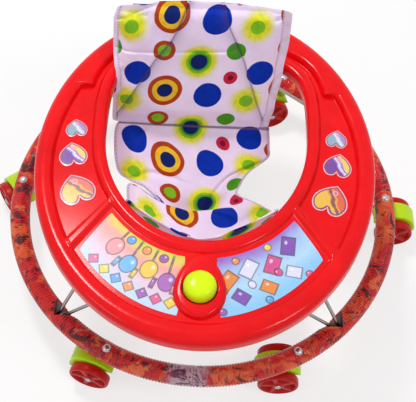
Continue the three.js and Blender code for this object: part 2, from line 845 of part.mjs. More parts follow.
for (const { row, place, share, turn } of heartRows) {
  const middle = (rimWidth + trayBand(place * degree) - lipWidth) / 2;
  const centre = trayPlace(place * degree, middle, seatGap - channelDrop);
  const size = 2 * (middle - rimWidth) * share;
  const plate = new THREE.ExtrudeGeometry(heartOutline(size), {
    depth: labelThickness, bevelEnabled: false, curveSegments: heartSegments,
  });
  for (const [side, name] of [[-1, `heart_left_${row}`], [1, `heart_right_${row}`]]) {
    const piece = addPiece(name, plate, heartLabel);
    piece.rotation.z = -side * turn * degree;
    piece.position.set(side * centre.x, centre.y, centre.z);
  }
}

// Squeaker button: a dome on a stem that is held by a collar below the tray
function squeakerButton() {
  const foot = panelTop + seatGap + buttonTravel;
  const shoulder = trayTop + buttonSkirt;
  const ceiling = shoulder - buttonWall;
  const collarTop = panelUnder - seatGap;
  const button = turned([
    [0, panelTop - stemLength],
    [stemRadius, panelTop - stemLength],
    [stemRadius, collarTop - collarHeight],
    [collarRadius, collarTop - collarHeight],
    [collarRadius, collarTop],
    [stemRadius, collarTop],
    [stemRadius, ceiling],
    [buttonRadius - buttonWall, ceiling],
    [buttonRadius - buttonWall, foot],
    [buttonRadius, foot],
    [buttonRadius, shoulder],
    ...buttonCrownShares.map(([out, up]) => [buttonRadius * out, shoulder + buttonDome * up]),
    [0, shoulder + buttonDome],
  ], buttonSides);
  button.translate(0, buttonY, 0);
  return button;
}

class CoilLine extends THREE.Curve {
  constructor(radius, fromZ, toZ, turns) {
    super();
    this.size = { radius, fromZ, toZ, turns };
  }

  getPoint(t) {
    const { radius, fromZ, toZ, turns } = this.size;
    const angle = t * turns * 2 * Math.PI;
    const height = fromZ + (toZ - fromZ) * t;
    return new THREE.Vector3(radius * Math.cos(angle), radius * Math.sin(angle), height);
  }
}

function buttonSpring() {
  const fromZ = panelTop + seatGap + springWire;
  const toZ = trayTop + buttonSkirt - buttonWall - seatGap - springWire;
  const line = new CoilLine(springRadius, fromZ, toZ, springTurns);
  const section = new THREE.Shape(flatPolygon(springWire, springSides));
  const coil = new THREE.ExtrudeGeometry(section, {
    extrudePath: line, steps: springSteps * springTurns, bevelEnabled: false,
  });
  coil.translate(0, buttonY, 0);
  return coil;
}

function squeakerCase() {
  const top = panelUnder - seatGap;
  const shell = turned([
    [0, top - caseDepth],
    [caseRadius - edgeRound, top - caseDepth],
    [caseRadius, top - caseDepth + edgeRound],
    [caseRadius, top],
    [caseRadius - caseWall, top],
    [caseRadius - caseWall, top - caseDepth + caseWall],
    [0, top - caseDepth + caseWall],
  ], caseSides);
  shell.translate(0, buttonY, 0);
  return shell;
}

addPiece('squeaker_button', squeakerButton(), limePlastic);
addPiece('button_spring', buttonSpring(), silver);
addPiece('squeaker_case', squeakerCase(), darkPlastic);

// Clips: a foot against the tray's underside and a post with an eye for the wire
function wireClip(legs, x, footZ, footFrom) {
  const pivot = legPivot(legs);
  const eyeY = pivot.y + legLean;
  const eyeZ = pivot.z + legRise;
  const rise = footZ - eyeZ;
  const footTo = footFrom > 0 ? clipHalfDepth : -clipHalfDepth;
  const shape = new THREE.Shape();
  shape.moveTo(clipHalfDepth, rise);
  shape.lineTo(-clipHalfDepth, rise);
  shape.absarc(0, 0, clipHalfDepth, Math.PI, 2 * Math.PI, false);
  shape.holes.push(new THREE.Path(flatPolygon(wireRadius + runningGap, clipEyeSides)));
  const post = extrudeAlongX(shape, x - clipWidth / 2, x + clipWidth / 2);
  const foot = extrudeAlongX([
    new THREE.Vector2(footFrom, rise),
    new THREE.Vector2(footTo, rise),
    new THREE.Vector2(footTo, rise - clipFootHeight),
    new THREE.Vector2(footFrom, rise - clipFootHeight),
  ], x - clipWidth / 2, x + clipWidth / 2);
  const clip = joinTo(post, [foot]);
  clip.translate(0, eyeY, eyeZ);
  return clip;
}

const pinMiddle = wirePinLength / 2 - overrun / 2;
const clipUnderPanel = panelUnder - seatGap;
const clipUnderChannel = trayTop - channelDrop - trayWall - seatGap;
const clipUnderRearRim = trayTop - edgeRound / 2 - trayWall - seatGap;
const clipRows = [
  { row: 'front', legs: frontLegs, tops: [clipUnderPanel, clipUnderPanel], foot: clipFootDepth },
  { row: 'rear', legs: rearLegs, tops: [clipUnderRearRim, clipUnderChannel], foot: clipHalfDepth },
];
for (const { row, legs, tops, foot } of clipRows) {
  const reach = ringRadius * legs.endShare - pinMiddle;
  addPiece(`${row}_clip_left`, wireClip(legs, -reach, tops[0], -foot), darkPlastic);
  addPiece(`${row}_clip_middle`, wireClip(legs, 0, tops[1], -clipFootDepth), darkPlastic);
  addPiece(`${row}_clip_right`, wireClip(legs, reach, tops[0], -foot), darkPlastic);
}

// Seat back: a crowned pad with rounded corners, thin edges and one sewn channel
const backLean = backLeanAngle * degree;
const backAlong = new THREE.Vector2(Math.sin(backLean), Math.cos(backLean));
const backRearward = new THREE.Vector2(backAlong.y, -backAlong.x);

function backPoint(x, along, rearward) {
  const place = backFoot.clone().addScaledVector(backAlong, along).addScaledVector(backRearward, rearward);
  return new THREE.Vector3(seatShift + x, place.x, place.y);
}

function backHeights() {
  const seam = backLength * backSeamShare;
  const corner = Array.from({ length: backCornerSteps + 1 }, (_, k) => (
    backCornerRadius * (1 - Math.cos(k / backCornerSteps * Math.PI / 2))
  ));
  const lower = backRowShares.map((share) => backCornerRadius + (seam - 2 * backCornerRadius) * share);
  const channel = [-1, 0, 1].map((side) => seam + side * backSeamHalfWidth);
  const upper = corner.map((rise) => backLength - rise).reverse();
  return [...corner, ...lower, ...channel, ...upper];
}

function backRow(along) {
  const seam = backLength * backSeamShare;
  const fromEnd = Math.min(along, backLength - along, backCornerRadius);
  const inset = backCornerRadius - Math.sqrt(backCornerRadius ** 2 - (backCornerRadius - fromEnd) ** 2);
  const half = backHalfWidth - inset;
  const sunk = Math.abs(along - seam) < backSeamHalfWidth / 2 ? backSeamDepth : 0;
  const puff = Math.min(1, fromEnd / backCornerRadius);
  const front = [];
  const rear = [];
  for (let k = 0; k <= backColumns; k += 1) {
    const across = 2 * k / backColumns - 1;
    const full = 1 - across ** 4;
    const depth = backEdgeThickness + (backThickness - backEdgeThickness) * full;
    front.push(backPoint(half * across, along, (sunk - backCrown * puff) * full));
    rear.push(backPoint(half * across, along, depth));
  }
  return [...front, ...rear.reverse()];
}

function backBoard() {
  const near = backThickness + seatGap;
  const far = near + boardThickness;
  const profile = [
    backPoint(0, boardMargin, near),
    backPoint(0, backLength - boardMargin, near),
    backPoint(0, backLength - boardMargin, far),
    backPoint(0, boardMargin, far),
  ].map((point) => new THREE.Vector2(point.y, point.z));
  const foot = trayTop + seatGap;
  const footRear = holeCentreY + holeRear + boardFootReach;
  const footAlong = (foot - backPoint(0, 0, far).z) / backAlong.y;
  const fromY = backPoint(0, footAlong, far).y - boardThickness / 2;
  const ledge = [
    new THREE.Vector2(fromY, foot),
    new THREE.Vector2(footRear, foot),
    new THREE.Vector2(footRear, foot + boardThickness),
    new THREE.Vector2(fromY, foot + boardThickness),
  ];
  const plate = extrudeAlongX(profile, seatShift - boardHalfWidth, seatShift + boardHalfWidth);
  return joinTo(plate, [extrudeAlongX(ledge, -boardFootHalfWidth, boardFootHalfWidth)]);
}

// Sling: a strip of cloth with curled sides and soft folds along its length
function slingMiddle() {
  const seam = backPoint(0, -seatGap, backThickness / 2);
  const below = backPoint(0, -boardMargin, backThickness / 2);
  const line = slingShares.map(({ shift, fore, sink }) => (
    new THREE.Vector3(seatShift * shift, holeCentreY - holeFront * fore, trayTop - slingDepth * sink)
  ));
  return new THREE.CatmullRomCurve3([seam, below, ...line], false, 'centripetal');
}

function slingHalfWidth(share) {
  const widths = [1, 1, ...slingShares.map((point) => point.spread)];
  const place = Math.min(share * (widths.length - 1), widths.length - 1 - Number.EPSILON);
  const k = Math.floor(place);
  const width = THREE.MathUtils.lerp(widths[k], widths[Math.min(k + 1, widths.length - 1)], place - k);
  return slingHipHalfWidth * width;
}

function holeWallY(x) {
  const across = Math.min(1, Math.abs(x) / holeHalfWidth);
  return holeCentreY - holeFront * Math.sqrt(1 - across ** 2);
}

function slingRow(curve, share) {
  const middle = curve.getPoint(share);
  const tangent = curve.getTangent(share);
  const lift = new THREE.Vector3(0, -tangent.z, tangent.y).multiplyScalar(-1);
  const half = slingHalfWidth(share);
  const loose = Math.sin(Math.PI * share);
  const toWall = (middle.z - trayTop + slingWallHeight) / (slingWallHeight - slingTuckDepth);
  const hold = middle.y < holeCentreY ? THREE.MathUtils.clamp(toWall, 0, 1) : 0;
  const upper = [];
  const lower = [];
  for (let k = 0; k <= slingColumns; k += 1) {
    const across = 2 * k / slingColumns - 1;
    const fold = slingFoldDepth * Math.cos(2 * Math.PI * slingFoldCount * across);
    const rise = (slingCurl * Math.abs(across) ** 3 + fold) * loose;
    const point = middle.clone().addScaledVector(lift, rise * (1 - hold));
    point.x = middle.x + half * across;
    const wallY = holeWallY(point.x) + slingRimInset;
    point.y = THREE.MathUtils.lerp(point.y, wallY, hold);
    upper.push(point.clone().addScaledVector(lift, slingThickness / 2));
    lower.push(point.clone().addScaledVector(lift, -slingThickness / 2));
  }
  return [...upper, ...lower.reverse()];
}

function seatSling() {
  const curve = slingMiddle();
  const rows = Array.from({ length: slingRows + 1 }, (_, k) => slingRow(curve, k / slingRows));
  return closedSkin(rows, false);
}

addPiece('seat_back', closedSkin(backHeights().map(backRow), false), printedFabric);
addPiece('back_board', backBoard(), darkPlastic);
addPiece('seat_sling', seatSling(), printedFabric);

// The middle of the footprint is brought above the origin
const footprint = new THREE.Box3().setFromObject(assembly);
const middle = footprint.getCenter(new THREE.Vector3());
assembly.position.set(-middle.x, -middle.y, 0);

export default walker;
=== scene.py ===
"""Baby activity walker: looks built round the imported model, laid out as an add-on.

Lengths in the tables below are millimetres from the middle of the base ring on the
floor; at() turns them into metres in the model's own frame. The front lies toward -Y.
"""

import math

import bmesh
import bpy
from bpy.props import FloatProperty, FloatVectorProperty, IntProperty, PointerProperty
from bpy.types import Operator, Panel, PropertyGroup
from mathutils import Matrix, Quaternion, Vector
from mathutils.bvhtree import BVHTree


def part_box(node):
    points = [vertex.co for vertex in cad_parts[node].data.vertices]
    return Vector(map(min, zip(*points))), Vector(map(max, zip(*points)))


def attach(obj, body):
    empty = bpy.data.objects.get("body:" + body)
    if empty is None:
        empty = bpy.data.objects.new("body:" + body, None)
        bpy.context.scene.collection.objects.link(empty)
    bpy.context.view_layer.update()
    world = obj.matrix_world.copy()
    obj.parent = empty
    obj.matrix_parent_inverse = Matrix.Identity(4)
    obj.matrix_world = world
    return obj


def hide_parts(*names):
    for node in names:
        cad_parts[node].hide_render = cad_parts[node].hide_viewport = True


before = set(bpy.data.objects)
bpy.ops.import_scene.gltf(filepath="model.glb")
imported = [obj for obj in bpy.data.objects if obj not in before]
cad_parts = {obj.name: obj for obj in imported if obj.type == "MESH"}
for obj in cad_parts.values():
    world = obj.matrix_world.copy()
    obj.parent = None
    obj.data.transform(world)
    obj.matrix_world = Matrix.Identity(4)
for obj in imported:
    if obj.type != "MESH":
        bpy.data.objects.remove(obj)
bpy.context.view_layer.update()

bl_info = {
    "name": "Baby Activity Walker",
    "version": (1, 0, 0),
    "blender": (4, 5, 0),
    "location": "3D View > Sidebar > Walker",
    "description": "Builds the looks of a round baby walker with a play tray",
    "category": "Object",
}

TUBE_LOW, TUBE_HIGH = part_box("base_tube")
MIDDLE = (TUBE_LOW + TUBE_HIGH) / 2
MM = 0.001

RING_RADIUS = 280.0
RING_HEIGHT = 81.0
# Degrees round the ring from its right side: each caster's place, and the way it trails
CASTERS = {
    "right": (3.5, 0),
    "rear_right": (63.5, 197),
    "rear_left": (116.5, 20),
    "left": (175.5, 127),
    "front_left": (243.5, 165),
    "front_right": (300, 180),
}
# Where each sleeve starts and ends on the ring, in degrees
SLEEVES = {
    "sleeve_left": (142.5, 270),
    "sleeve_right": (270, 397.5),
    "sleeve_rear": (37.5, 142.5),
}
# Body, side of the ring (-1 is the front), hinge angle, half width at the tray, slot length
LEGS = {
    "front_legs": ("front_frame", -1, 45, 138.04, 30),
    "rear_legs": ("rear_frame", 1, 35, 106.12, 40),
}
# From the ring's hinges to the tray's pins: how far the wires lean rearward and rise
LEG_LEAN, LEG_RISE = 12.0, 155.0


def at(x, y, z):
    """A place given in millimetres from the ring's middle, in metres."""
    return Vector((MIDDLE.x + x * MM, MIDDLE.y + y * MM, z * MM))


def smooth_step(low, high, value):
    share = min(1.0, max(0.0, (value - low) / (high - low)))
    return share * share * (3 - 2 * share)


def lerp(first, second, share):
    return first + (second - first) * share


def spread(first, last, steps):
    """Even steps from first to last, both of them included."""
    return [lerp(first, last, k / steps) for k in range(steps + 1)]


def reading(table, value):
    """Reads a table of (place, amount) pairs between its entries."""
    if value <= table[0][0]:
        return table[0][1]
    for (low, first), (high, second) in zip(table, table[1:]):
        if value <= high:
            return lerp(first, second, smooth_step(low, high, value))
    return table[-1][1]


# Shader values and finishes


class Value:
    """A socket in a finish, so that sums of sockets are written as sums."""

    def __init__(self, finish, socket):
        self.finish = finish
        self.socket = socket

    def maths(self, operation, *others, flipped=False):
        terms = [self, *others]
        if flipped:
            terms.reverse()
        return self.finish.node("ShaderNodeMath", {"operation": operation}, dict(enumerate(terms)))

    def __add__(self, other):
        return self.maths("ADD", other)

    def __radd__(self, other):
        return self.maths("ADD", other)

    def __sub__(self, other):
        return self.maths("SUBTRACT", other)

    def __rsub__(self, other):
        return self.maths("SUBTRACT", other, flipped=True)

    def __mul__(self, other):
        return self.maths("MULTIPLY", other)

    def __rmul__(self, other):
        return self.maths("MULTIPLY", other)

    def __truediv__(self, other):
        return self.maths("DIVIDE", other)

    def __rtruediv__(self, other):
        return self.maths("DIVIDE", other, flipped=True)

    def __abs__(self):
        return self.maths("ABSOLUTE")

    def at_least(self, other):
        return self.maths("MAXIMUM", other)

    def wrapped(self, size):
        """The value folded into plus or minus half of a size."""
        return self.maths("WRAP", size / 2, -size / 2)

    def root(self):
        return self.maths("SQRT")

    def sine(self):
        return self.maths("SINE")

    def fades(self, low, high):
        """Rises smoothly from 0 at low to 1 at high."""
        settings = {"interpolation_type": "SMOOTHSTEP", "clamp": True}
        return self.finish.node("ShaderNodeMapRange", settings, {0: self, 1: low, 2: high, 3: 0.0, 4: 1.0})


class Finish:
    """A procedural material, built from nodes by the methods below."""

    def __init__(self, name):
        self.material = bpy.data.materials.new(name)
        self.material.use_nodes = True
        self.tree = self.material.node_tree
        self.tree.nodes.clear()
        self.out = self.tree.nodes.new("ShaderNodeOutputMaterial")

    def node(self, kind, settings=None, values=None, output=0):
        made = self.tree.nodes.new(kind)
        for name, setting in (settings or {}).items():
            if name == "stops":
                ramp = made.color_ramp
                while len(ramp.elements) < len(setting):
                    ramp.elements.new(1.0)
                for element, (place, colour) in zip(ramp.elements, setting):
                    element.position = place
                    element.color = (*colour, 1.0)
            else:
                setattr(made, name, setting)
        for place, value in (values or {}).items():
            self.feed(made.inputs[place], value)
        return Value(self, made.outputs[output])

    def feed(self, socket, value):
        if isinstance(value, Value):
            self.tree.links.new(value.socket, socket)
        elif hasattr(value, "__len__") and socket.type == "RGBA" and len(value) == 3:
            socket.default_value = (*value, 1.0)
        else:
            socket.default_value = value

    def mix(self, share, first, second, blend="MIX"):
        settings = {"data_type": "RGBA", "blend_type": blend}
        return self.node("ShaderNodeMix", settings, {0: share, 6: first, 7: second}, output=2)

    def ramp(self, value, *stops):
        return self.node("ShaderNodeValToRGB", {"stops": stops}, {0: value})

    def place(self):
        """The place in the piece's own space."""
        return self.node("ShaderNodeTexCoord", output="Object")

    def stored(self, name, output):
        """A value that the mesh carries at its points."""
        settings = {"attribute_type": "GEOMETRY", "attribute_name": name}
        return self.node("ShaderNodeAttribute", settings, output=output)

    def print_lay(self):
        """Across and down the print, and the way to the rim, all in metres."""
        return self.stored("lay", "Vector")

    def stretched(self, where, scales):
        """A place scaled by its own amount along each axis, for drawn or brushed grain."""
        return self.node("ShaderNodeVectorMath", {"operation": "MULTIPLY"}, {0: where, 1: scales})

    def parts(self, vector):
        made = self.node("ShaderNodeSeparateXYZ", None, {0: vector})
        outputs = made.socket.node.outputs
        return tuple(Value(self, outputs[k]) for k in range(3))

    def noise(self, where, scale, detail=3.0, rough=0.5, warp=0.0):
        values = {"Vector": where, "Scale": scale, "Detail": detail, "Roughness": rough, "Distortion": warp}
        return self.node("ShaderNodeTexNoise", None, values)

    def cells(self, where, scale):
        return self.node("ShaderNodeTexVoronoi", None, {"Vector": where, "Scale": scale})

    def bump(self, height, strength, depth, under=None):
        values = {"Strength": strength, "Distance": depth, "Height": height}
        if under is not None:
            values["Normal"] = under
        return self.node("ShaderNodeBump", None, values)

    def surface(self, **values):
        shader = self.tree.nodes.new("ShaderNodeBsdfPrincipled")
        for name, value in values.items():
            self.feed(shader.inputs[name.replace("_", " ")], value)
        self.tree.links.new(shader.outputs[0], self.out.inputs[0])
        return self.material


def moulded_plastic(name, colour, rough, scuffs=0.25, peel=0.15):
    """Moulded plastic: faint flow in its colour, orange peel, scuffs and handling marks."""
    finish = Finish(name)
    where = finish.place()
    flow = finish.noise(where, 14.0, 4.0, 0.55, 0.6)
    pale = tuple(min(1.0, c * 1.08 + 0.003) for c in colour)
    deep = tuple(c * 0.88 for c in colour)
    tone = finish.ramp(flow, (0.25, deep), (0.5, colour), (0.8, pale))
    rubbed = finish.noise(where, 90.0, 5.0, 0.7).fades(0.5, 0.75)
    streaks = finish.noise(finish.stretched(where, (900.0, 60.0, 60.0)), 1.0, 2.0, 0.6).fades(0.62, 0.78)
    worn = finish.mix(rubbed * 0.10 * scuffs, tone, tuple(lerp(c, 0.6, 0.3) for c in colour))
    grain = finish.noise(where, 420.0, 2.0, 0.5)
    lines = finish.bump(streaks, 0.12 * scuffs, 0.0003)
    return finish.surface(
        Base_Color=worn,
        Roughness=rubbed * 0.14 * scuffs + streaks * 0.1 * scuffs + flow * 0.05 + rough,
        Normal=finish.bump(grain, peel, 0.0002, lines),
        Specular_IOR_Level=0.17,
    )


def bright_steel(name, colour, rough, drawn):
    """Plated steel wire or tube: drawing lines, faint spots and a soft tarnish."""
    finish = Finish(name)
    where = finish.place()
    tarnish = finish.noise(where, 22.0, 4.0, 0.6)
    grain = finish.noise(finish.stretched(where, drawn), 1.0, 3.0, 0.6)
    spots = finish.cells(where, 260.0).fades(0.0, 0.12)
    tone = finish.mix(tarnish.fades(0.35, 0.8) * 0.35, colour, tuple(c * 0.72 for c in colour))
    tone = finish.mix((1 - spots) * 0.25, tone, tuple(c * 0.45 for c in colour))
    return finish.surface(
        Base_Color=tone,
        Metallic=1.0,
        Roughness=grain * 0.12 + tarnish * 0.08 + (1 - spots) * 0.1 + rough,
        Normal=finish.bump(grain, 0.12, 0.0002),
    )


def marbled_sleeve():
    """A glossy ribbed skin, marbled in reds, orange and wine, with a silver patch in front."""
    look = bpy.context.scene.walker_colours
    finish = Finish("sleeve_marble")
    where = finish.place()
    drift = finish.node("ShaderNodeTexNoise", None, {"Vector": where, "Scale": 15.0, "Detail": 3.0}, output=1)
    shaken = finish.node("ShaderNodeVectorMath", {"operation": "MULTIPLY_ADD"},
                         {0: drift, 1: (0.11, 0.11, 0.11), 2: where})
    bands = finish.noise(shaken, 15.0, 4.0, 0.55, 1.6)
    blots = finish.noise(shaken, 31.0, 3.0, 0.6, 0.8)
    streaks = finish.noise(shaken, 62.0, 4.0, 0.65, 1.2)
    pale = finish.noise(where, 48.0, 3.0, 0.6, 0.5)
    red, orange, wine = tuple(look.sleeve_red), tuple(look.sleeve_orange), tuple(look.sleeve_wine)
    ground = finish.ramp(bands, (0.30, wine), (0.38, red), (0.50, (0.62, 0.014, 0.012)), (0.57, (0.68, 0.085, 0.025)),
                         (0.66, orange), (0.76, (0.72, 0.20, 0.06)))
    ground = finish.mix(blots.fades(0.58, 0.64) * 0.75, ground, (0.80, 0.20, 0.07))
    ground = finish.mix((1 - blots.fades(0.38, 0.44)) * 0.9, ground, (0.055, 0.004, 0.014))
    ground = finish.mix(streaks.fades(0.57, 0.63) * 0.75, ground, (0.045, 0.004, 0.012))
    ground = finish.mix(pale.fades(0.62, 0.72) * 0.35, ground, (0.80, 0.42, 0.34))
    x, y, _ = finish.parts(where)
    patch_middle, patch_half = MIDDLE.x - 0.012, 0.036
    patch = (1 - abs((x - patch_middle) / patch_half).fades(0.45, 1.0)) * (MIDDLE.y - y).fades(0.24, 0.26)
    silver = finish.mix(streaks.fades(0.43, 0.56), (0.06, 0.02, 0.09), (0.54, 0.46, 0.54))
    ground = finish.mix(patch * 0.85, ground, silver)
    ripple = finish.noise(where, 160.0, 3.0, 0.6)
    return finish.surface(
        Base_Color=ground,
        Roughness=ripple * 0.12 + 0.16,
        Normal=finish.bump(ripple, 0.08, 0.0003),
        Specular_IOR_Level=0.12,
        Coat_Weight=0.35,
        Coat_Roughness=0.05,
    )


NAVY, BLUE, GREEN = (0.004, 0.016, 0.14), (0.001, 0.030, 0.42), (0.070, 0.34, 0.008)
RUST, AMBER, LEMON, RED = (0.46, 0.055, 0.010), (0.90, 0.55, 0.03), (0.80, 0.80, 0.03), (0.62, 0.02, 0.06)
LEAF, WINE = (0.22, 0.56, 0.02), (0.20, 0.004, 0.03)
# The print's dots: place across and down in shares of the repeat, then rings from the outside
# in, each with the radii in millimetres where it starts and ends to fade, and its colour
PRINT_DOTS = [
    (-0.246, 0.096, [(24.0, 24.8, RUST), (17.8, 18.4, AMBER), (10.6, 11.4, NAVY)]),
    (0.439, 0.245, [(14.0, 28.5, LEMON), (9.0, 10.5, LEAF)]),
    (0.113, 0.164, [(19.4, 20.2, BLUE)]),
    (-0.281, 0.539, [(15.0, 15.8, RUST), (8.6, 9.8, LEAF)]),
    (0.297, 0.550, [(12.6, 13.6, GREEN)]),
    (0.008, 0.697, [(20.0, 31.0, LEMON), (17.0, 18.6, LEAF), (13.4, 15.0, GREEN), (11.2, 12.2, NAVY)]),
    (0.281, 0.915, [(9.6, 10.4, RED), (3.0, 5.0, WINE)]),
    (0.515, 0.847, [(18.2, 19.0, BLUE)]),
]


THREAD_PITCH = 0.0011
STITCH_PITCH = 0.0042
LEFT_BINDING, RIGHT_BINDING = 0.0072, 0.0125


def dotted_cloth():
    """Woven cloth with a dot print, a binding along each side and a row of stitches, with painted shade in its creases
    and along the binding's fold.
    """
    look = bpy.context.scene.walker_colours
    finish = Finish("seat_cloth")
    lay = finish.print_lay()
    across, down, rim = finish.parts(lay)
    wander = finish.noise(lay, 55.0, 2.0, 0.5) - 0.5
    tone = tuple(look.cloth)
    shade = finish.noise(lay, 9.0, 3.0, 0.55)
    ground = finish.mix(shade.fades(0.3, 0.75), tuple(c * 0.93 for c in tone), tuple(min(1.0, c * 1.03) for c in tone))
    tile_x, tile_y = look.tile_width, look.tile_length
    bleed = finish.noise(lay, 120.0, 3.0, 0.6).fades(0.35, 0.7)
    # Painted shade stored at the points: dark crease lines, painted shadows beside them, at the pad's foot and along
    # the sling's first edge
    crease = finish.stored("crease", "Fac")
    for place_x, place_y, rings in PRINT_DOTS:
        gap_x = (across - place_x * tile_x).wrapped(tile_x)
        gap_y = (down - place_y * tile_y).wrapped(tile_y)
        reach = (gap_x * gap_x + gap_y * gap_y).root() + wander * 0.0016
        for inner, outer, colour in rings:
            cover = 1 - reach.fades(inner * MM, outer * MM)
            ground = finish.mix(cover, ground, finish.mix(bleed * 0.35, colour, tuple(c * 0.55 for c in colour)))
    threads = 2 * math.pi / THREAD_PITCH
    warp = (across * threads).sine()
    weft = (down * threads).sine()
    weave = warp * weft
    ground = finish.mix((weave + 1) * 0.08, ground, (0.72, 0.72, 0.76), "MULTIPLY")
    wide = finish.mix(across.fades(-0.001, 0.001), (LEFT_BINDING,) * 3, (RIGHT_BINDING,) * 3)
    hem = (rim - wide).fades(-0.0004, 0.0004)
    to_stitch = abs(rim - wide + 0.0012)
    stitch = (1 - to_stitch.fades(0.0004, 0.0009)) * (1 - abs(down.wrapped(STITCH_PITCH)).fades(0.0012, 0.0016))
    fold = 1 - abs(rim - wide - 0.0004).fades(0.0003, 0.0012)
    binding = finish.mix(shade.fades(0.3, 0.7), tuple(c * 0.82 for c in tone), tuple(c * 0.96 for c in tone))
    ground = finish.mix((1 - hem) * 0.88, ground, binding)
    # Painted shade along the binding's fold line
    ground = finish.mix(fold * 0.30, ground, (0.30, 0.24, 0.34))
    ground = finish.mix(stitch * 0.5, ground, (0.24, 0.12, 0.18))
    # Painted shade, darkest along the creases
    ground = finish.mix(crease.fades(0.08, 1.0) * 0.80, ground, (0.12, 0.07, 0.16))
    fuzz = finish.noise(lay, 700.0, 2.0, 0.6)
    rumple = finish.noise(lay, 46.0, 3.0, 0.5, 0.3)
    height = weave * 0.25 + fuzz * 0.35
    cloth = finish.bump(rumple + stitch * 0.12 - fold * 0.15, 0.35, 0.003)
    return finish.surface(
        Base_Color=ground,
        Roughness=fuzz * 0.1 + 0.62,
        Normal=finish.bump(height, 0.22, 0.0005, cloth),
        Specular_IOR_Level=0.08,
        Sheen_Weight=0.02,
    )


# The sheets curve round a point ahead of the ring's middle, and are squeezed across
SHEET_CENTRE_AHEAD = 20
SHEET_SQUEEZE = 0.82
# Colours of the sheets' plain shapes
BUNTING = [(0.78, 0.10, 0.30), (0.86, 0.62, 0.06), (0.12, 0.36, 0.74), (0.82, 0.30, 0.10), (0.34, 0.10, 0.46)]
BALLOONS = [(0.80, 0.32, 0.36), (0.16, 0.46, 0.80), (0.82, 0.58, 0.08), (0.40, 0.14, 0.50)]
KITES = [(0.22, 0.08, 0.44), (0.66, 0.08, 0.28), (0.72, 0.70, 0.90), (0.80, 0.26, 0.05)]


def on_sheet(reach, degrees):
    """A place on a picture sheet from its distance to the sheet's centre and its angle."""
    turn = math.radians(degrees)
    return SHEET_SQUEEZE * reach * math.cos(turn), -SHEET_CENTRE_AHEAD - reach * math.sin(turn)


def play_shapes(side):
    """Plain shapes of one picture sheet: kind, place and half sizes in millimetres, turn, colour."""
    shapes = []
    if side < 0:
        for k, degrees in enumerate(spread(49, 80, 6)):
            shapes.append(("block", *on_sheet(248, degrees), 6, 6, 45 - degrees, BUNTING[k % 5]))
        for k, degrees in enumerate(spread(52, 77, 3)):
            shapes.append(("block", *on_sheet(205, degrees), 1.2, 15, 90 - degrees, (0.30, 0.24, 0.40)))
            shapes.append(("ball", *on_sheet(222 if k % 2 else 214, degrees), 11, 13, 90 - degrees, BALLOONS[k]))
        for k, degrees in enumerate(spread(56, 73, 2)):
            shapes.append(("ball", *on_sheet(192, degrees), 6, 6, 0, BUNTING[k + 2]))
        for k, degrees in enumerate(spread(50, 74, 3)):
            shapes.append(("block", *on_sheet(229, degrees + 6), 7, 3, -degrees, BALLOONS[(k + 1) % 4]))
    else:
        for k, degrees in enumerate(spread(50, 79, 3)):
            shapes.append(("block", *on_sheet(206 + 9 * (k % 2), degrees), 9, 13, 45 - degrees, KITES[k]))
        for k, degrees in enumerate(spread(54, 75, 2)):
            shapes.append(("block", *on_sheet(240, degrees), 10, 8, 45 - degrees, KITES[(k + 2) % 4]))
        for k, degrees in enumerate(spread(50, 82, 4)):
            shapes.append(("ball", *on_sheet(256 - 66 * (k % 2), degrees), 5, 5, 0, BUNTING[k]))
        for k, degrees in enumerate(spread(49, 71, 2)):
            shapes.append(("ball", *on_sheet(228, degrees + 10), 5, 6, 90 - degrees, KITES[(k + 1) % 4]))
    return shapes


def stamped(finish, ground, x, y, shape):
    """Lays one outlined ball or block over a print's ground."""
    kind, place_x, place_y, half_x, half_y, turn, colour = shape
    turn_cos, turn_sin = math.cos(math.radians(turn)), math.sin(math.radians(turn))
    x, y = x - place_x * MM, y - place_y * MM
    across = (x * turn_cos + y * turn_sin) * (1 / (half_x * MM))
    along = (y * turn_cos - x * turn_sin) * (1 / (half_y * MM))
    if kind == "ball":
        reach = (across * across + along * along).root()
    else:
        reach = abs(across).at_least(abs(along))
    edge = 0.9 / min(half_x, half_y)
    ground = finish.mix((1 - reach.fades(1.0, 1.0 + edge)) * 0.85, ground, tuple(c * 0.30 for c in colour))
    ground = finish.mix(1 - reach.fades(1.0 - 1.6 * edge, 1.0 - edge), ground, colour)
    glint = ((across + 0.35) * (across + 0.35) + (along - 0.35) * (along - 0.35)).root()
    return finish.mix((1 - glint.fades(0.12, 0.30)) * 0.55, ground, (0.95, 0.95, 0.97))


def picture_sheet(name, side):
    """A printed sheet of plain balls and blocks over bands of colour that follow its curve."""
    finish = Finish(name)
    where = finish.place()
    x, y, _ = finish.parts(where)
    x = (x - MIDDLE.x) * side
    y = y - MIDDLE.y
    wide, deep = x / SHEET_SQUEEZE, y + SHEET_CENTRE_AHEAD * MM
    reach = (wide * wide + deep * deep).root()
    wave = finish.noise(where, 22.0, 3.0, 0.55) - 0.5
    grain = finish.noise(where, 120.0, 3.0, 0.6)
    if side < 0:
        ground = finish.ramp(reach + wave * 0.03, (0.178, (0.45, 0.62, 0.04)), (0.190, (0.82, 0.60, 0.10)),
                             (0.204, (0.84, 0.36, 0.34)), (0.228, (0.80, 0.54, 0.66)), (0.252, (0.52, 0.66, 0.86)))
    else:
        ground = finish.ramp(reach + wave * 0.03, (0.172, (0.20, 0.07, 0.46)), (0.190, (0.34, 0.22, 0.62)),
                             (0.204, (0.36, 0.52, 0.82)), (0.226, (0.44, 0.66, 0.88)), (0.250, (0.26, 0.56, 0.86)))
    for shape in play_shapes(side):
        ground = stamped(finish, ground, x, y, shape)
    flecks = finish.noise(where, 260.0, 3.0, 0.7).fades(0.60, 0.68)
    ground = finish.mix(flecks * 0.22, ground, (0.16, 0.06, 0.22))
    ground = finish.mix(grain * 0.06, ground, (0.95, 0.95, 0.95))
    return finish.surface(
        Base_Color=ground,
        Roughness=grain * 0.1 + 0.2,
        Normal=finish.bump(grain, 0.04, 0.0003),
        Specular_IOR_Level=0.15,
    )


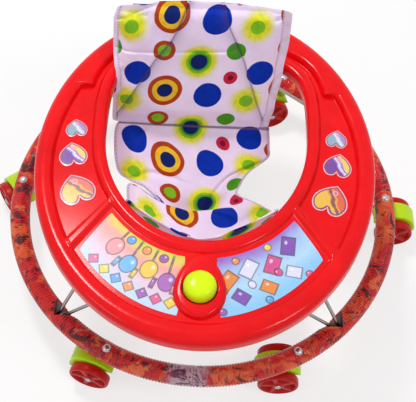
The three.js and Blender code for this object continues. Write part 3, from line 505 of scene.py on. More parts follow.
# Each heart's corner, its two halves and the stripe between them
HEART_SHADES = {
    "heart_violet": [(0.78, 0.58, 0.12), (0.16, 0.03, 0.32), (0.34, 0.16, 0.56), (0.72, 0.62, 0.80)],
    "heart_silver": [(0.40, 0.22, 0.52), (0.26, 0.38, 0.50), (0.46, 0.58, 0.70), (0.70, 0.70, 0.82)],
    "heart_gold": [(0.70, 0.10, 0.04), (0.78, 0.46, 0.04), (0.80, 0.28, 0.05), (0.12, 0.05, 0.06)],
}


def heart_foil(name):
    """A printed heart: slanting fields of colour, a small ring, a dark line and a pale border."""
    corner, first, second, stripe = HEART_SHADES[name]
    finish = Finish(name)
    x, y, rim = finish.parts(finish.print_lay())
    grain = finish.noise(finish.place(), 200.0, 3.0, 0.6)
    bend = finish.noise(finish.place(), 60.0, 2.0, 0.5) - 0.5
    tilt = x * 0.8 + y * 0.6 + bend * 0.5
    ground = finish.mix(tilt.fades(-0.12, -0.06), first, second)
    ground = finish.mix(tilt.fades(0.22, 0.28), ground, corner)
    ground = finish.mix((1 - abs(tilt - 0.05).fades(0.06, 0.10)) * 0.9, ground, stripe)
    knob = ((x - 0.05) * (x - 0.05) + (y - 0.42) * (y - 0.42)).root()
    ground = finish.mix(1 - abs(knob - 0.13).fades(0.03, 0.06), ground, (0.80, 0.30, 0.45))
    ground = finish.mix(1 - rim.fades(0.13, 0.17), ground, (0.26, 0.02, 0.10))
    ground = finish.mix(1 - rim.fades(0.05, 0.09), ground, (0.82, 0.46, 0.54))
    ground = finish.mix(grain * 0.06, ground, (1.0, 1.0, 1.0))
    return finish.surface(
        Base_Color=ground,
        Roughness=grain * 0.12 + 0.15,
        Normal=finish.bump(grain, 0.04, 0.0002),
    )


# Colour, roughness, and how far the drawing lines are drawn out along each axis
STEELS = {
    "wire_chrome": ((0.36, 0.34, 0.32), 0.10, (60.0, 900.0, 60.0)),
    # The tube shows only in the sleeves' slots, so its steel is darkened to paint the shade there
    "tube_painted_shade": ((0.16, 0.15, 0.15), 0.30, (80.0, 80.0, 500.0)),
    "rivet_nickel": ((0.50, 0.44, 0.45), 0.16, (300.0, 300.0, 300.0)),
    "spring_steel": ((0.62, 0.62, 0.64), 0.2, (500.0, 500.0, 500.0)),
}
DARK_PLASTICS = {
    "board_grey": (0.19, 0.175, 0.21),
    "clip_dark": (0.035, 0.035, 0.04),
    "case_dark": (0.03, 0.03, 0.034),
}
FINISHES = {}


def bright_plastics():
    """Colour, roughness, scuffs and orange peel of the plastics that show."""
    look = bpy.context.scene.walker_colours
    return {
        "tray_red": (tuple(look.tray), 0.12, 0.35, 0.06),
        "wheel_red": (tuple(look.wheel), 0.30, 1.0, 0.2),
        "hood_lime": (tuple(look.hood), 0.28, 0.7, 0.15),
        "button_lime": (tuple(look.button), 0.16, 0.3, 0.06),
    }


def finish_for(name):
    """Makes each finish once, from the tables above and the colours in the sidebar."""
    if name not in FINISHES:
        FINISHES[name] = made_finish(name)
    return FINISHES[name]


def made_finish(name):
    plastics = bright_plastics()
    plastics |= {dark: (colour, 0.42, 0.6, 0.3) for dark, colour in DARK_PLASTICS.items()}
    if name in plastics:
        return moulded_plastic(name, *plastics[name])
    if name in STEELS:
        return bright_steel(name, *STEELS[name])
    if name in HEART_SHADES:
        return heart_foil(name)
    makers = {
        "sleeve_marble": marbled_sleeve,
        "seat_cloth": dotted_cloth,
        "picture_left": lambda: picture_sheet("picture_left", -1),
        "picture_right": lambda: picture_sheet("picture_right", 1),
    }
    return makers[name]()


# Meshes


def skin(name, rows, joins_up=False, round_rows=True, caps=False):
    """A mesh over rows of points. Rows can be loops, and the rows can join up."""
    columns = len(rows[0])
    points = [point for row in rows for point in row]
    faces = []
    for i in range(len(rows) if joins_up else len(rows) - 1):
        for j in range(columns if round_rows else columns - 1):
            here, there = i * columns, ((i + 1) % len(rows)) * columns
            k = (j + 1) % columns
            faces.append((here + j, here + k, there + k, there + j))
    if caps:
        last = (len(rows) - 1) * columns
        faces.append(tuple(range(columns)))
        faces.append(tuple(last + j for j in range(columns)))
    mesh = bpy.data.meshes.new(name)
    mesh.from_pydata(points, [], faces)
    return tidied(mesh)


def tidied(mesh, crease=50.0):
    """Joins doubled points, turns faces outwards and shades smoothly between creases."""
    shell = bmesh.new()
    shell.from_mesh(mesh)
    bmesh.ops.remove_doubles(shell, verts=shell.verts, dist=1e-6)
    bmesh.ops.recalc_face_normals(shell, faces=shell.faces)
    shell.to_mesh(mesh)
    shell.free()
    mesh.shade_smooth()
    mesh.set_sharp_from_angle(angle=math.radians(crease))
    return mesh


def linked(name, data):
    """Puts a new object with this data in the scene."""
    made = bpy.data.objects.new(name, data)
    bpy.context.scene.collection.objects.link(made)
    return made


def add_piece(name, mesh, finish, body, replaces=(), matrix=None):
    """Puts a mesh in the scene with its finish, its body and the nodes it stands for."""
    piece = linked(name, mesh)
    if matrix is not None:
        piece.matrix_world = matrix
    if finish is not None and not mesh.materials:
        mesh.materials.append(finish_for(finish))
    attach(piece, body)
    if replaces:
        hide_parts(*replaces)
    return piece


def store(mesh, name, kind, values):
    """Keeps a value at each of a mesh's points, for its finish to read."""
    made = mesh.attributes.new(name, kind, "POINT")
    for entry, value in zip(made.data, values):
        if kind == "FLOAT":
            entry.value = value
        else:
            entry.vector = value


def evaluated(piece):
    """A piece's mesh with its modifiers worked in."""
    graph = bpy.context.evaluated_depsgraph_get()
    return bpy.data.meshes.new_from_object(piece.evaluated_get(graph), depsgraph=graph)


def worked(mesh, *modifiers):
    """A mesh with modifiers applied, each a kind and its settings."""
    holder = linked("workpiece", mesh)
    for kind, settings in modifiers:
        modifier = holder.modifiers.new(kind.lower(), kind)
        for name, setting in settings.items():
            setattr(modifier, name, setting)
    made = evaluated(holder)
    bpy.data.objects.remove(holder)
    return made


def turned(name, profile, sides=32):
    """A turned form about the Z axis from pairs of radius and height in millimetres."""
    rows = []
    for radius, height in profile:
        rows.append([Vector((radius * MM * math.cos(2 * math.pi * k / sides),
                             radius * MM * math.sin(2 * math.pi * k / sides), height * MM)) for k in range(sides)])
    return skin(name, rows)


def rounded_profile(profile, passes=2):
    """Cuts the corners of an open profile, keeping its ends."""
    for _ in range(passes):
        cut = [profile[0]]
        for (ax, ay), (bx, by) in zip(profile, profile[1:]):
            cut.append((ax * 0.75 + bx * 0.25, ay * 0.75 + by * 0.25))
            cut.append((ax * 0.25 + bx * 0.75, ay * 0.25 + by * 0.75))
        cut.append(profile[-1])
        profile = cut
    return profile


def rounded_loop(points, passes=2):
    """Cuts the corners of a closed loop of points."""
    for _ in range(passes):
        cut = []
        for k, point in enumerate(points):
            after = points[(k + 1) % len(points)]
            cut.append(point * 0.75 + after * 0.25)
            cut.append(point * 0.25 + after * 0.75)
        points = cut
    return points


def swept(name, path, radius, sides=16):
    """A round wire along a path of points, with domed ends."""
    rows = []
    normal = None
    for k, point in enumerate(path):
        ahead = (path[min(k + 1, len(path) - 1)] - path[max(k - 1, 0)]).normalized()
        if normal is None:
            normal = ahead.orthogonal().normalized()
        normal = (normal - ahead * normal.dot(ahead)).normalized()
        rows.append((point, ahead, normal, ahead.cross(normal)))
    dome = (1.0, 0.85, 0.45)
    loops = [ring_of(rows[0], radius * math.sqrt(1 - share * share), -radius * share, sides) for share in dome]
    loops += [ring_of(row, radius, 0.0, sides) for row in rows]
    loops += [ring_of(rows[-1], radius * math.sqrt(1 - share * share), radius * share, sides)
              for share in reversed(dome)]
    return skin(name, loops)


def ring_of(row, radius, onward, sides):
    """A ring round a row of a swept path: its point and the three ways there."""
    point, ahead, normal, side = row
    return [point + ahead * onward + normal * radius * math.cos(2 * math.pi * k / sides)
            + side * radius * math.sin(2 * math.pi * k / sides) for k in range(sides)]


def bent_path(corners, bends, steps=10):
    """A path through corners, each rounded by an arc of its own radius."""
    path = [corners[0]]
    for k in range(1, len(corners) - 1):
        corner, radius = corners[k], bends[k - 1]
        inward = (corners[k - 1] - corner).normalized()
        outward = (corners[k + 1] - corner).normalized()
        half = inward.angle(outward) / 2
        middle = (inward + outward).normalized()
        centre = corner + middle * (radius / math.sin(half))
        start = corner + inward * (radius / math.tan(half)) - centre
        end = corner + outward * (radius / math.tan(half)) - centre
        turn = Quaternion(start.cross(end).normalized(), start.angle(end) / steps)
        arm = start
        for _ in range(steps + 1):
            path.append(centre + arm)
            arm = turn @ arm
    path.append(corners[-1])
    return path


# Sizes and colours that a user would change


class WalkerSizes(PropertyGroup):
    rib_pitch: FloatProperty(name="Rib pitch", description="Distance between the sleeve's ribs, in millimetres",
                             default=4.2, min=2.5, max=12.0)
    rib_radius: FloatProperty(name="Rib radius", description="Radius of the sleeve over its ribs, in millimetres",
                              default=15.1, min=13.0, max=16.0)
    wire_radius: FloatProperty(name="Wire radius", description="Radius of the leg wires, in millimetres",
                               default=2.5, min=1.5, max=4.0)
    pad_swell: FloatProperty(name="Pad swell", description="How far the seat pad may swell, in metres",
                             default=0.008, min=0.0, max=0.02, unit="LENGTH")
    spoke_count: IntProperty(name="Spokes", description="Spokes in each caster wheel", default=5, min=3, max=9)


class WalkerColours(PropertyGroup):
    tray: FloatVectorProperty(name="Tray", description="Colour of the tray's shell", subtype="COLOR",
                              default=(0.78, 0.002, 0.005), min=0.0, max=1.0)
    wheel: FloatVectorProperty(name="Wheels", description="Colour of the caster wheels", subtype="COLOR",
                               default=(0.48, 0.005, 0.003), min=0.0, max=1.0)
    hood: FloatVectorProperty(name="Caster hoods", description="Colour of the caster hoods", subtype="COLOR",
                              default=(0.50, 0.76, 0.012), min=0.0, max=1.0)
    button: FloatVectorProperty(name="Button", description="Colour of the squeaker button", subtype="COLOR",
                                default=(0.66, 0.88, 0.006), min=0.0, max=1.0)
    cloth: FloatVectorProperty(name="Seat cloth", description="Ground colour of the seat's print", subtype="COLOR",
                               default=(0.90, 0.76, 1.0), min=0.0, max=1.0)
    sleeve_red: FloatVectorProperty(name="Sleeve red", description="Main colour of the marbled sleeve",
                                    subtype="COLOR", default=(0.58, 0.012, 0.016), min=0.0, max=1.0)
    sleeve_orange: FloatVectorProperty(name="Sleeve orange", description="Light colour of the marbled sleeve",
                                       subtype="COLOR", default=(0.78, 0.13, 0.03), min=0.0, max=1.0)
    sleeve_wine: FloatVectorProperty(name="Sleeve wine", description="Dark colour of the marbled sleeve",
                                     subtype="COLOR", default=(0.13, 0.006, 0.016), min=0.0, max=1.0)
    tile_width: FloatProperty(name="Print width", description="Repeat of the dot print across the cloth",
                              default=0.171, min=0.05, unit="LENGTH")
    tile_length: FloatProperty(name="Print length", description="Repeat of the dot print down the cloth",
                               default=0.1145, min=0.05, unit="LENGTH")


# Base: ribbed sleeves and rivets


SLEEVE_BORE = 12.0
SLEEVE_GAP = 0.03
RIB_DEPTH = 1.15
RIB_STEPS = 5
# A hinge slot's outline about the hinge: front, rear, floor under the hinge, and top
SLOT_FRONT, SLOT_REAR, SLOT_FLOOR, SLOT_TOP = -5, 36, -4.5, 24
SLOT_OUTWARD = 6


def ring_at(angle, radial, height):
    """A place on the ring, from its angle in degrees and its way outwards and up from the tube."""
    turn = math.radians(angle)
    reach = RING_RADIUS + radial
    return at(reach * math.cos(turn), reach * math.sin(turn), RING_HEIGHT + height)


def hinge_boxes():
    """The slots that the wires swing in, each as the outlines of its two ends."""
    boxes = []
    rise = math.tan(math.radians(35) - math.atan2(LEG_LEAN, LEG_RISE))
    ramp_start = -SLOT_FRONT
    outline = [(SLOT_FRONT, SLOT_FLOOR), (ramp_start, SLOT_FLOOR),
               (SLOT_REAR, SLOT_FLOOR + rise * (SLOT_REAR - ramp_start)), (SLOT_REAR, SLOT_TOP),
               (SLOT_FRONT, SLOT_TOP)]
    for _, facing, angle, _, reach in LEGS.values():
        x, y = hinge_place(facing, angle)
        for side in (-1, 1):
            ends = (side * (x + SLOT_OUTWARD), side * (x - reach))
            boxes.append([[at(end, y + dy, RING_HEIGHT + dz) for dy, dz in outline] for end in ends])
    return boxes


def hinge_place(facing, angle):
    """Where a wire hinges on the ring's right side."""
    turn = math.radians(angle)
    return RING_RADIUS * math.cos(turn), facing * RING_RADIUS * math.sin(turn)


class WALKER_OT_sleeves(Operator):
    """Ribbed sleeves round the base tube, slotted where the wires hinge"""

    bl_idname = "walker.sleeves"
    bl_label = "Base sleeves"

    def execute(self, context):
        sizes = context.scene.walker_sizes
        cutters = [linked(f"slot_{k}", skin(f"slot_{k}", ends, caps=True)) for k, ends in enumerate(hinge_boxes())]
        slots = [("BOOLEAN", {"object": cutter, "solver": "EXACT"}) for cutter in cutters]
        for name, (start, end) in SLEEVES.items():
            ribs = round(RING_RADIUS * math.radians(end - start) / sizes.rib_pitch)
            start, end = start + SLEEVE_GAP, end - SLEEVE_GAP
            rows = []
            for k, angle in enumerate(spread(start, end, RIB_STEPS * ribs)):
                wave = 0.5 - 0.5 * math.cos(2 * math.pi * k / RIB_STEPS)
                rows.append(sleeve_ring(angle, sizes.rib_radius - RIB_DEPTH + RIB_DEPTH * math.sqrt(wave)))
            rows += [sleeve_ring(angle, SLEEVE_BORE) for angle in spread(end, start, 90)]
            cut = worked(skin(name, rows, joins_up=True), *slots)
            cut.shade_smooth()
            cut.set_sharp_from_angle(angle=math.radians(60))
            add_piece(f"ribbed_{name}", cut, "sleeve_marble", "base", (name,))
        for cutter in cutters:
            bpy.data.objects.remove(cutter)
        return {"FINISHED"}


def sleeve_ring(angle, radius, sides=18):
    return [ring_at(angle, radius * math.cos(2 * math.pi * k / sides), radius * math.sin(2 * math.pi * k / sides))
            for k in range(sides)]


class WALKER_OT_rivets(Operator):
    """Domed rivets that hold the casters to the ring"""

    bl_idname = "walker.rivets"
    bl_label = "Caster rivets"

    def execute(self, context):
        head = rounded_profile([(0, 39.8), (4.6, 39.8), (4.6, 41.7), (3, 41.7), (3, 95.4), (6.2, 95.4), (6.2, 96.0),
                                (5.6, 96.2), (5.3, 97.5), (4.0, 98.8), (1.9, 99.3), (0, 99.4)], 2)
        shape = turned("rivet", head, 28)
        for name, (place, _) in CASTERS.items():
            spot = ring_at(place, 0, -RING_HEIGHT)
            add_piece(f"rivet_{name}", shape, "rivet_nickel", "base",
                      (f"caster_rivet_{name}",), Matrix.Translation(spot))
        return {"FINISHED"}


# Casters


AXLE_TRAIL, AXLE_HEIGHT = 22.5, 29.5
WHEEL_OFFSET = 14.7
FACE_STANDS = 13.0
DISC_DEPTH, POCKET_DEPTH, HUB_STANDS = 1.0, 4.6, 0.2


def caster_matrix(name, x=0.0, y=0.0, z=0.0, flip=False):
    """Carries a shape drawn about a caster's rivet, trailing along +X, to its place on the ring."""
    place, trail = CASTERS[name]
    spin = Matrix.Rotation(math.radians(trail), 4, "Z")
    turn = Matrix.Rotation(math.pi, 4, "Z") if flip else Matrix.Identity(4)
    foot = Matrix.Translation(ring_at(place, 0, -RING_HEIGHT))
    return foot @ spin @ Matrix.Translation(Vector((x, y, z)) * MM) @ turn


def wheel_face(radius, angle, spokes):
    """How far the outer face stands out at a place on the wheel, in millimetres."""
    span = 2 * math.pi / spokes
    from_spoke = abs((angle + span / 2) % span - span / 2) * radius
    spoke = 1 - smooth_step(3.0, 4.6, from_spoke)
    pocket = smooth_step(8.6, 10.0, radius) * (1 - smooth_step(23.6, 25.0, radius)) * (1 - spoke)
    hub = 1 - smooth_step(6.8, 7.8, radius)
    disc = smooth_step(8.0, 9.0, radius) * (1 - smooth_step(24.8, 26.0, radius))
    return FACE_STANDS - DISC_DEPTH * disc - POCKET_DEPTH * pocket + HUB_STANDS * hub


class WALKER_OT_wheels(Operator):
    """Twin wheels with rounded treads and pockets between their spokes"""

    bl_idname = "walker.wheels"
    bl_label = "Caster wheels"

    def execute(self, context):
        spokes = context.scene.walker_sizes.spoke_count
        sides = 20 * spokes
        inner_face_and_tread = [(2.5, 0.3), (7.0, 0.3), (7.4, 0.8), (24.0, 0.8), (24.6, 0.3), (27.4, 0.3), (29.0, 1.2),
                                (29.48, 2.6), (29.48, 10.2), (29.0, 11.9), (28.2, 12.8)]
        rows = [self.ring(radius, [width] * sides) for radius, width in inner_face_and_tread]
        for radius in (27.2, 26.2, 25.4, 24.6, 23.8, 22.5, 20, 17, 14, 11, 9.6, 8.8, 8.0, 7.2, 6.6, 5.0, 2.5):
            depths = [wheel_face(radius, 2 * math.pi * k / sides, spokes) for k in range(sides)]
            rows.append(self.ring(radius, depths))
        shape = skin("caster_wheel", rows, joins_up=True)
        shape.set_sharp_from_angle(angle=math.radians(75))
        for name in CASTERS:
            for side, label in ((-1, "a"), (1, "b")):
                matrix = caster_matrix(name, AXLE_TRAIL, side * WHEEL_OFFSET, AXLE_HEIGHT, side < 0)
                add_piece(f"spoked_wheel_{name}_{label}", shape, "wheel_red", f"wheel_{name}_{label}",
                          (f"wheel_{name}_{label}",), matrix)
        return {"FINISHED"}

    @staticmethod
    def ring(radius, depths):
        step = 2 * math.pi / len(depths)
        return [Vector((radius * math.cos(step * k), depth, radius * math.sin(step * k))) * MM
                for k, depth in enumerate(depths)]


class WALKER_OT_hoods(Operator):
    """Lime hoods over the wheels, with their posts and the screws of the axles"""

    bl_idname = "walker.hoods"
    bl_label = "Caster hoods"

    def execute(self, context):
        hood = self.hood_shape()
        screw = self.screw_shape()
        for name in CASTERS:
            add_piece(f"hood_{name}", hood, "hood_lime", f"caster_{name}",
                      (f"caster_hood_{name}",), caster_matrix(name))
            add_piece(f"axle_screws_{name}", screw, "rivet_nickel", f"caster_{name}",
                      (f"caster_axle_{name}",), caster_matrix(name, AXLE_TRAIL, 0, AXLE_HEIGHT))
        return {"FINISHED"}

    @staticmethod
    def hood_shape():
        cover, hub, half_width = 34.5, 8.0, 14.0
        lead = math.pi - math.asin(12.5 / cover)
        outline = [(7.0, 42.0), (AXLE_TRAIL - hub, AXLE_HEIGHT)]
        for radius, turns in ((hub, spread(math.pi, math.pi + math.radians(162), 14)),
                              (cover, spread(math.radians(-7), lead, 26))):
            outline += [(AXLE_TRAIL + radius * math.cos(turn), AXLE_HEIGHT + radius * math.sin(turn)) for turn in turns]
        sides = [[Vector((x, y, z)) * MM for x, z in outline] for y in (-half_width, half_width)]
        plate = bmesh.new()
        plate.from_mesh(skin("hood", sides, caps=True))
        bmesh.ops.bevel(plate, geom=[e for e in plate.edges if e.calc_face_angle(0) > math.radians(40)],
                        offset=2.2 * MM, segments=4, profile=0.6, affect="EDGES", clamp_overlap=True)
        post = [(0, 42.5), (8.6, 43.0), (7.6, 52.0), (7.0, 56.0), (7.0, 63.5), (6.6, 65.8), (3.4, 65.9), (3.4, 60.0),
                (0, 60.0)]
        plate.from_mesh(turned("post", rounded_profile(post), 32))
        mesh = bpy.data.meshes.new("hood")
        plate.to_mesh(mesh)
        plate.free()
        mesh.shade_smooth()
        mesh.set_sharp_from_angle(angle=math.radians(55))
        return mesh

    @staticmethod
    def screw_shape():
        head = [(0, 30.3), (1.3, 30.3), (1.5, 29.4), (1.9, 29.4), (2.1, 30.2), (3.4, 29.95), (4.3, 29.2), (4.5, 28.2),
                (2.0, 28.1), (2.0, 0)]
        shape = bmesh.new()
        for flip in (0.0, math.pi):
            half = turned("half", rounded_profile(head, 1), 24)
            half.transform(Matrix.Rotation(math.pi / 2 + flip, 4, "X"))
            shape.from_mesh(half)
        mesh = bpy.data.meshes.new("axle_screws")
        shape.to_mesh(mesh)
        shape.free()
        return tidied(mesh)


# Wire leg frames


# Radii of each wire's bends, from its end pins to its middle span, and lengths under the tray
PIN_BEND, HOOK_BEND, SPAN_BEND = 5, 4, 8
PIN_LENGTH, HALF_SPAN = 24, 15


class WALKER_OT_legs(Operator):
    """W shaped wire frames, hooked into the ring and pinned under the tray"""

    bl_idname = "walker.legs"
    bl_label = "Wire legs"

    def execute(self, context):
        radius = context.scene.walker_sizes.wire_radius * MM
        for name, (body, facing, angle, end_x, _) in LEGS.items():
            x, y = hinge_place(facing, angle)
            hinge = at(x, y, RING_HEIGHT)
            inner, end, pin = (at(across, y + LEG_LEAN, RING_HEIGHT + LEG_RISE)
                               for across in (HALF_SPAN, end_x, end_x - PIN_LENGTH))
            right = [inner, self.hook_corner(hinge, [inner, end]), end, pin]
            left = [Vector((2 * MIDDLE.x - corner.x, corner.y, corner.z)) for corner in reversed(right)]
            bends = [bend * MM for bend in (PIN_BEND, HOOK_BEND, SPAN_BEND, SPAN_BEND, HOOK_BEND, PIN_BEND)]
            mesh = swept(f"wire_{name}", bent_path(left + right, bends), radius, 20)
            add_piece(f"wire_{name}", mesh, "wire_chrome", body, (name,))
        return {"FINISHED"}

    @staticmethod
    def hook_corner(pivot, ends):
        """Where the wire's corner has to lie so that its bend runs through the hinge."""
        corner = pivot.copy()
        for _ in range(12):
            arms = [(end - corner).normalized() for end in ends]
            half = arms[0].angle(arms[1]) / 2
            middle = (arms[0] + arms[1]).normalized()
            corner = pivot + middle * (HOOK_BEND * MM - HOOK_BEND * MM / math.sin(half))
        return corner


# Tray


TRAY_TOP = 276.0
TRAY_HALF_WIDTH, TRAY_REAR, TRAY_FRONT = 227.5, 270.0, 272.5
TRAY_MIDDLE_Y = -45
HOLE_HALF_WIDTH, HOLE_REAR, HOLE_FRONT = 137, 135, 169
HOLE_MIDDLE_Y = -5
# Widths across the tray's band: its crest at the sides and at the rear, and its inner lip
RIM_WIDTH, REAR_RIM_WIDTH, LIP_WIDTH = 28.0, 50.0, 20
PANEL_DEPTH, CHANNEL_DEPTH, RIB_DROP = 5.0, 9.0, 0.9
# Degrees round the tray: the ribs beside the front panels, and where the wide rear crest starts and ends
LEFT_RIB, RIGHT_RIB = -143, -37
REAR_START, REAR_END = 27, 153
BUTTON_Y = -245


def tray_outer(angle):
    length = TRAY_REAR if math.sin(angle) > 0 else TRAY_FRONT
    return TRAY_HALF_WIDTH * math.cos(angle), TRAY_MIDDLE_Y + length * math.sin(angle)


def tray_inner(angle):
    """The edge of the child's hole: half an oval in front, squarer behind."""
    rise, across = math.sin(angle), math.cos(angle)
    if rise <= 0:
        return HOLE_HALF_WIDTH * across, HOLE_MIDDLE_Y + HOLE_FRONT * rise
    share = (abs(across) ** 4 + rise**4) ** -0.25
    return HOLE_HALF_WIDTH * across * share, HOLE_MIDDLE_Y + HOLE_REAR * rise * share


def tray_band(angle):
    """How wide the tray is between its outer edge and its hole."""
    outer, inner = tray_outer(angle), tray_inner(angle)
    return math.hypot(inner[0] - outer[0], inner[1] - outer[1])


def tray_place(angle, from_outer, height):
    outer, inner = tray_outer(angle), tray_inner(angle)
    share = from_outer / tray_band(angle)
    return (lerp(outer[0], inner[0], share), lerp(outer[1], inner[1], share), TRAY_TOP + height)


def floor_drop(degrees):
    """How far the tray's floor lies below its crest: panels, ribs and channels."""
    to_rib = min(abs(degrees - RIGHT_RIB), abs(degrees - LEFT_RIB))
    depth = PANEL_DEPTH if LEFT_RIB < degrees < RIGHT_RIB else CHANNEL_DEPTH
    return lerp(RIB_DROP, depth, smooth_step(1.0, 2.6, to_rib))


def tray_section(degrees):
    """The shell cut across its band, as places inwards and up: over the top, then back beneath."""
    angle = math.radians(degrees)
    band = tray_band(angle)
    rearward = smooth_step(REAR_START - 1.5, REAR_START + 1.5, degrees)
    rearward *= 1 - smooth_step(REAR_END - 1.5, REAR_END + 1.5, degrees)
    rim = min(lerp(RIM_WIDTH, REAR_RIM_WIDTH, rearward), band - 26)
    drop, lip = floor_drop(degrees), band - LIP_WIDTH
    outline = [
        (3, -25), (0.2, -24), (0, -17), (0, -10), (1.6, -5.4), (5.5, -1.8), (11, -0.1), (lerp(11, rim - 9, 0.5), 0),
        (rim - 9, -0.3), (rim - 4.2, -1.5), (rim - 1.4, -drop * 0.55), (rim, -drop), (rim + 2, -drop),
        (lerp(rim, lip, 0.5), -drop), (lip - 2, -drop), (lip, -drop), (lip + 1.4, -drop * 0.55), (lip + 4, -1.3),
        (lip + 8, 0), (band - 5.5, -0.6), (band - 1.6, -3.0), (band, -7), (band, -17.4), (band - 0.8, -18),
        (band - 2.2, -18), (band - 3, -17.4), (band - 3, -7.5), (band - 7, -4.6), (lip + 8, -4.2),
        (lip + 2.4, -drop - 3), (rim - 2.4, -drop - 3), (rim - 9, -4.2), (12, -4.2), (3.2, -11), (3.2, -17), (6, -25),
    ]
    return [at(*tray_place(angle, inward, height)) for inward, height in outline]


def tray_angles():
    """Where the shell is cut, closer together where its floor or its crest changes."""
    marks = (LEFT_RIB, RIGHT_RIB, REAR_START, REAR_END)
    angles = []
    angle = -180.0
    while angle < 180:
        angles.append(angle)
        near = min(abs(angle - mark) for mark in marks)
        angle += 0.4 if near < 3.4 else 2.0
    return angles


class WALKER_OT_tray(Operator):
    """The tray's thin red shell with its rim, channels, ribs and inner lip"""

    bl_idname = "walker.tray"
    bl_label = "Tray shell"

    def execute(self, context):
        rows = [rounded_loop(tray_section(degrees), 2) for degrees in tray_angles()]
        mesh = skin("moulded_tray", rows, joins_up=True)
        mesh.set_sharp_from_angle(angle=math.radians(80))
        add_piece("moulded_tray", mesh, "tray_red", "tray", ("tray_shell",))
        add_piece("button_boss", self.boss_shape(), "tray_red", "tray")
        return {"FINISHED"}

    @staticmethod
    def boss_shape():
        outside = [(0.0, -5.2), (0.5, -4.9), (1.2, -3.6), (2.1, -1.2), (3.2, 0.8), (4.8, 2.0), (6.6, 2.6), (8.4, 2.8)]
        mouth = [(24.6, 2.9), (23.4, 3.0), (22.6, 2.8), (22.1, 2.0), (21.8, 0.6), (21.8, -4.8)]
        turns = [math.radians(turn) for turn in range(0, 360, 5)]
        rows = [[at(*pear(turn, inset, TRAY_TOP + height)) for turn in turns] for inset, height in outside]
        for radius, height in mouth:
            rows.append([at(radius * math.sin(turn), BUTTON_Y + radius * math.cos(turn), TRAY_TOP + height)
                         for turn in turns])
        return skin("button_boss", rows)


BOSS_HALF_WIDTH, BOSS_REAR, BOSS_FRONT = 34.5, 50.0, 41.0
BOSS_TAPER = 0.24


def pear(turn, inset, height):
    """A place on the boss's pear shaped outline, narrow to the rear and drawn in by an inset."""
    rearward = math.cos(turn)
    half = (BOSS_HALF_WIDTH - inset) * (1 - BOSS_TAPER * ((1 + rearward) / 2) ** 3)
    length = (BOSS_REAR if rearward > 0 else BOSS_FRONT) - inset
    return half * math.sin(turn), BUTTON_Y + length * rearward, height


class WALKER_OT_button(Operator):
    """The squeaker's domed button"""

    bl_idname = "walker.button"
    bl_label = "Squeaker button"

    def execute(self, context):
        profile = rounded_profile([(17.6, 275.4), (20.5, 275.4), (20.5, 283.0), (19.9, 286.2), (17.4, 290.0),
                                   (12.5, 292.2), (6, 293.0), (0, 293.0)], 3)
        add_piece("domed_button", turned("domed_button", profile, 48), "button_lime", "button",
                  ("squeaker_button",), Matrix.Translation(at(0, BUTTON_Y, 0)))
        return {"FINISHED"}


HEART_HEIGHT, SHEET_HEIGHT = 267.3, 271.15
HEART_TINTS = {"rear": "heart_silver", "middle": "heart_violet", "front": "heart_gold"}
# Each row of hearts: degrees round the tray, share of the channel's width, and turn
HEART_ROWS = {"rear": (6, 0.65, 8), "middle": (-6, 0.68, 12), "front": (-21, 0.7, 24)}


class WALKER_OT_sheets(Operator):
    """Picture sheets in the tray's front panels and heart plates in its channels"""

    bl_idname = "walker.sheets"
    bl_label = "Printed sheets"

    def execute(self, context):
        for side, name in ((-1, "left"), (1, "right")):
            loop = rounded_loop(self.sheet_outline(side), 2)
            add_piece(f"picture_{name}", plate(f"picture_{name}", loop, 0.0005), f"picture_{name}", "tray",
                      (f"picture_panel_{name}",))
        for row, (degrees, share, turn) in HEART_ROWS.items():
            angle = math.radians(degrees)
            middle = (RIM_WIDTH + tray_band(angle) - LIP_WIDTH) / 2
            x, y, _ = tray_place(angle, middle, 0)
            for side, name in ((-1, "left"), (1, "right")):
                mesh = heart_plate(f"heart_plate_{name}_{row}", 2 * (middle - RIM_WIDTH) * share)
                spin = Matrix.Rotation(math.radians(-side * turn), 4, "Z")
                add_piece(f"heart_plate_{name}_{row}", mesh, HEART_TINTS[row], "tray",
                          (f"heart_{name}_{row}",), Matrix.Translation(at(side * x, y, HEART_HEIGHT)) @ spin)
        return {"FINISHED"}

    @staticmethod
    def sheet_outline(side):
        """Between the crest and the lip, from beside the rib to the front, clear of the boss."""
        angles = [math.radians(-degrees) for degrees in spread(41, 83, 30)]
        outer = [tray_place(angle, RIM_WIDTH + 7, 0) for angle in angles]
        inner = [tray_place(angle, tray_band(angle) - LIP_WIDTH - 7, 0) for angle in angles]
        kept = []
        for x, y, _ in outer + inner[::-1]:
            gap = math.hypot(x / (BOSS_HALF_WIDTH + 2), (y - BUTTON_Y) / (BOSS_FRONT + 2.5))
            if gap < 1:
                x, y = x / gap, BUTTON_Y + (y - BUTTON_Y) / gap
            kept.append(at(side * x, y, SHEET_HEIGHT))
        return kept


def plate(name, loop, thickness):
    """A thin plate over a flat loop of points, with its faces split into triangles."""
    count = len(loop)
    top = [point + Vector((0, 0, thickness)) for point in loop]
    faces = [tuple(range(count)), tuple(range(2 * count - 1, count - 1, -1))]
    faces += [(k, (k + 1) % count, count + (k + 1) % count, count + k) for k in range(count)]
    mesh = bpy.data.meshes.new(name)
    mesh.from_pydata(loop + top, [], faces)
    flat = bmesh.new()
    flat.from_mesh(mesh)
    bmesh.ops.recalc_face_normals(flat, faces=flat.faces)
    bmesh.ops.triangulate(flat, faces=flat.faces)
    flat.to_mesh(mesh)
    flat.free()
    return mesh


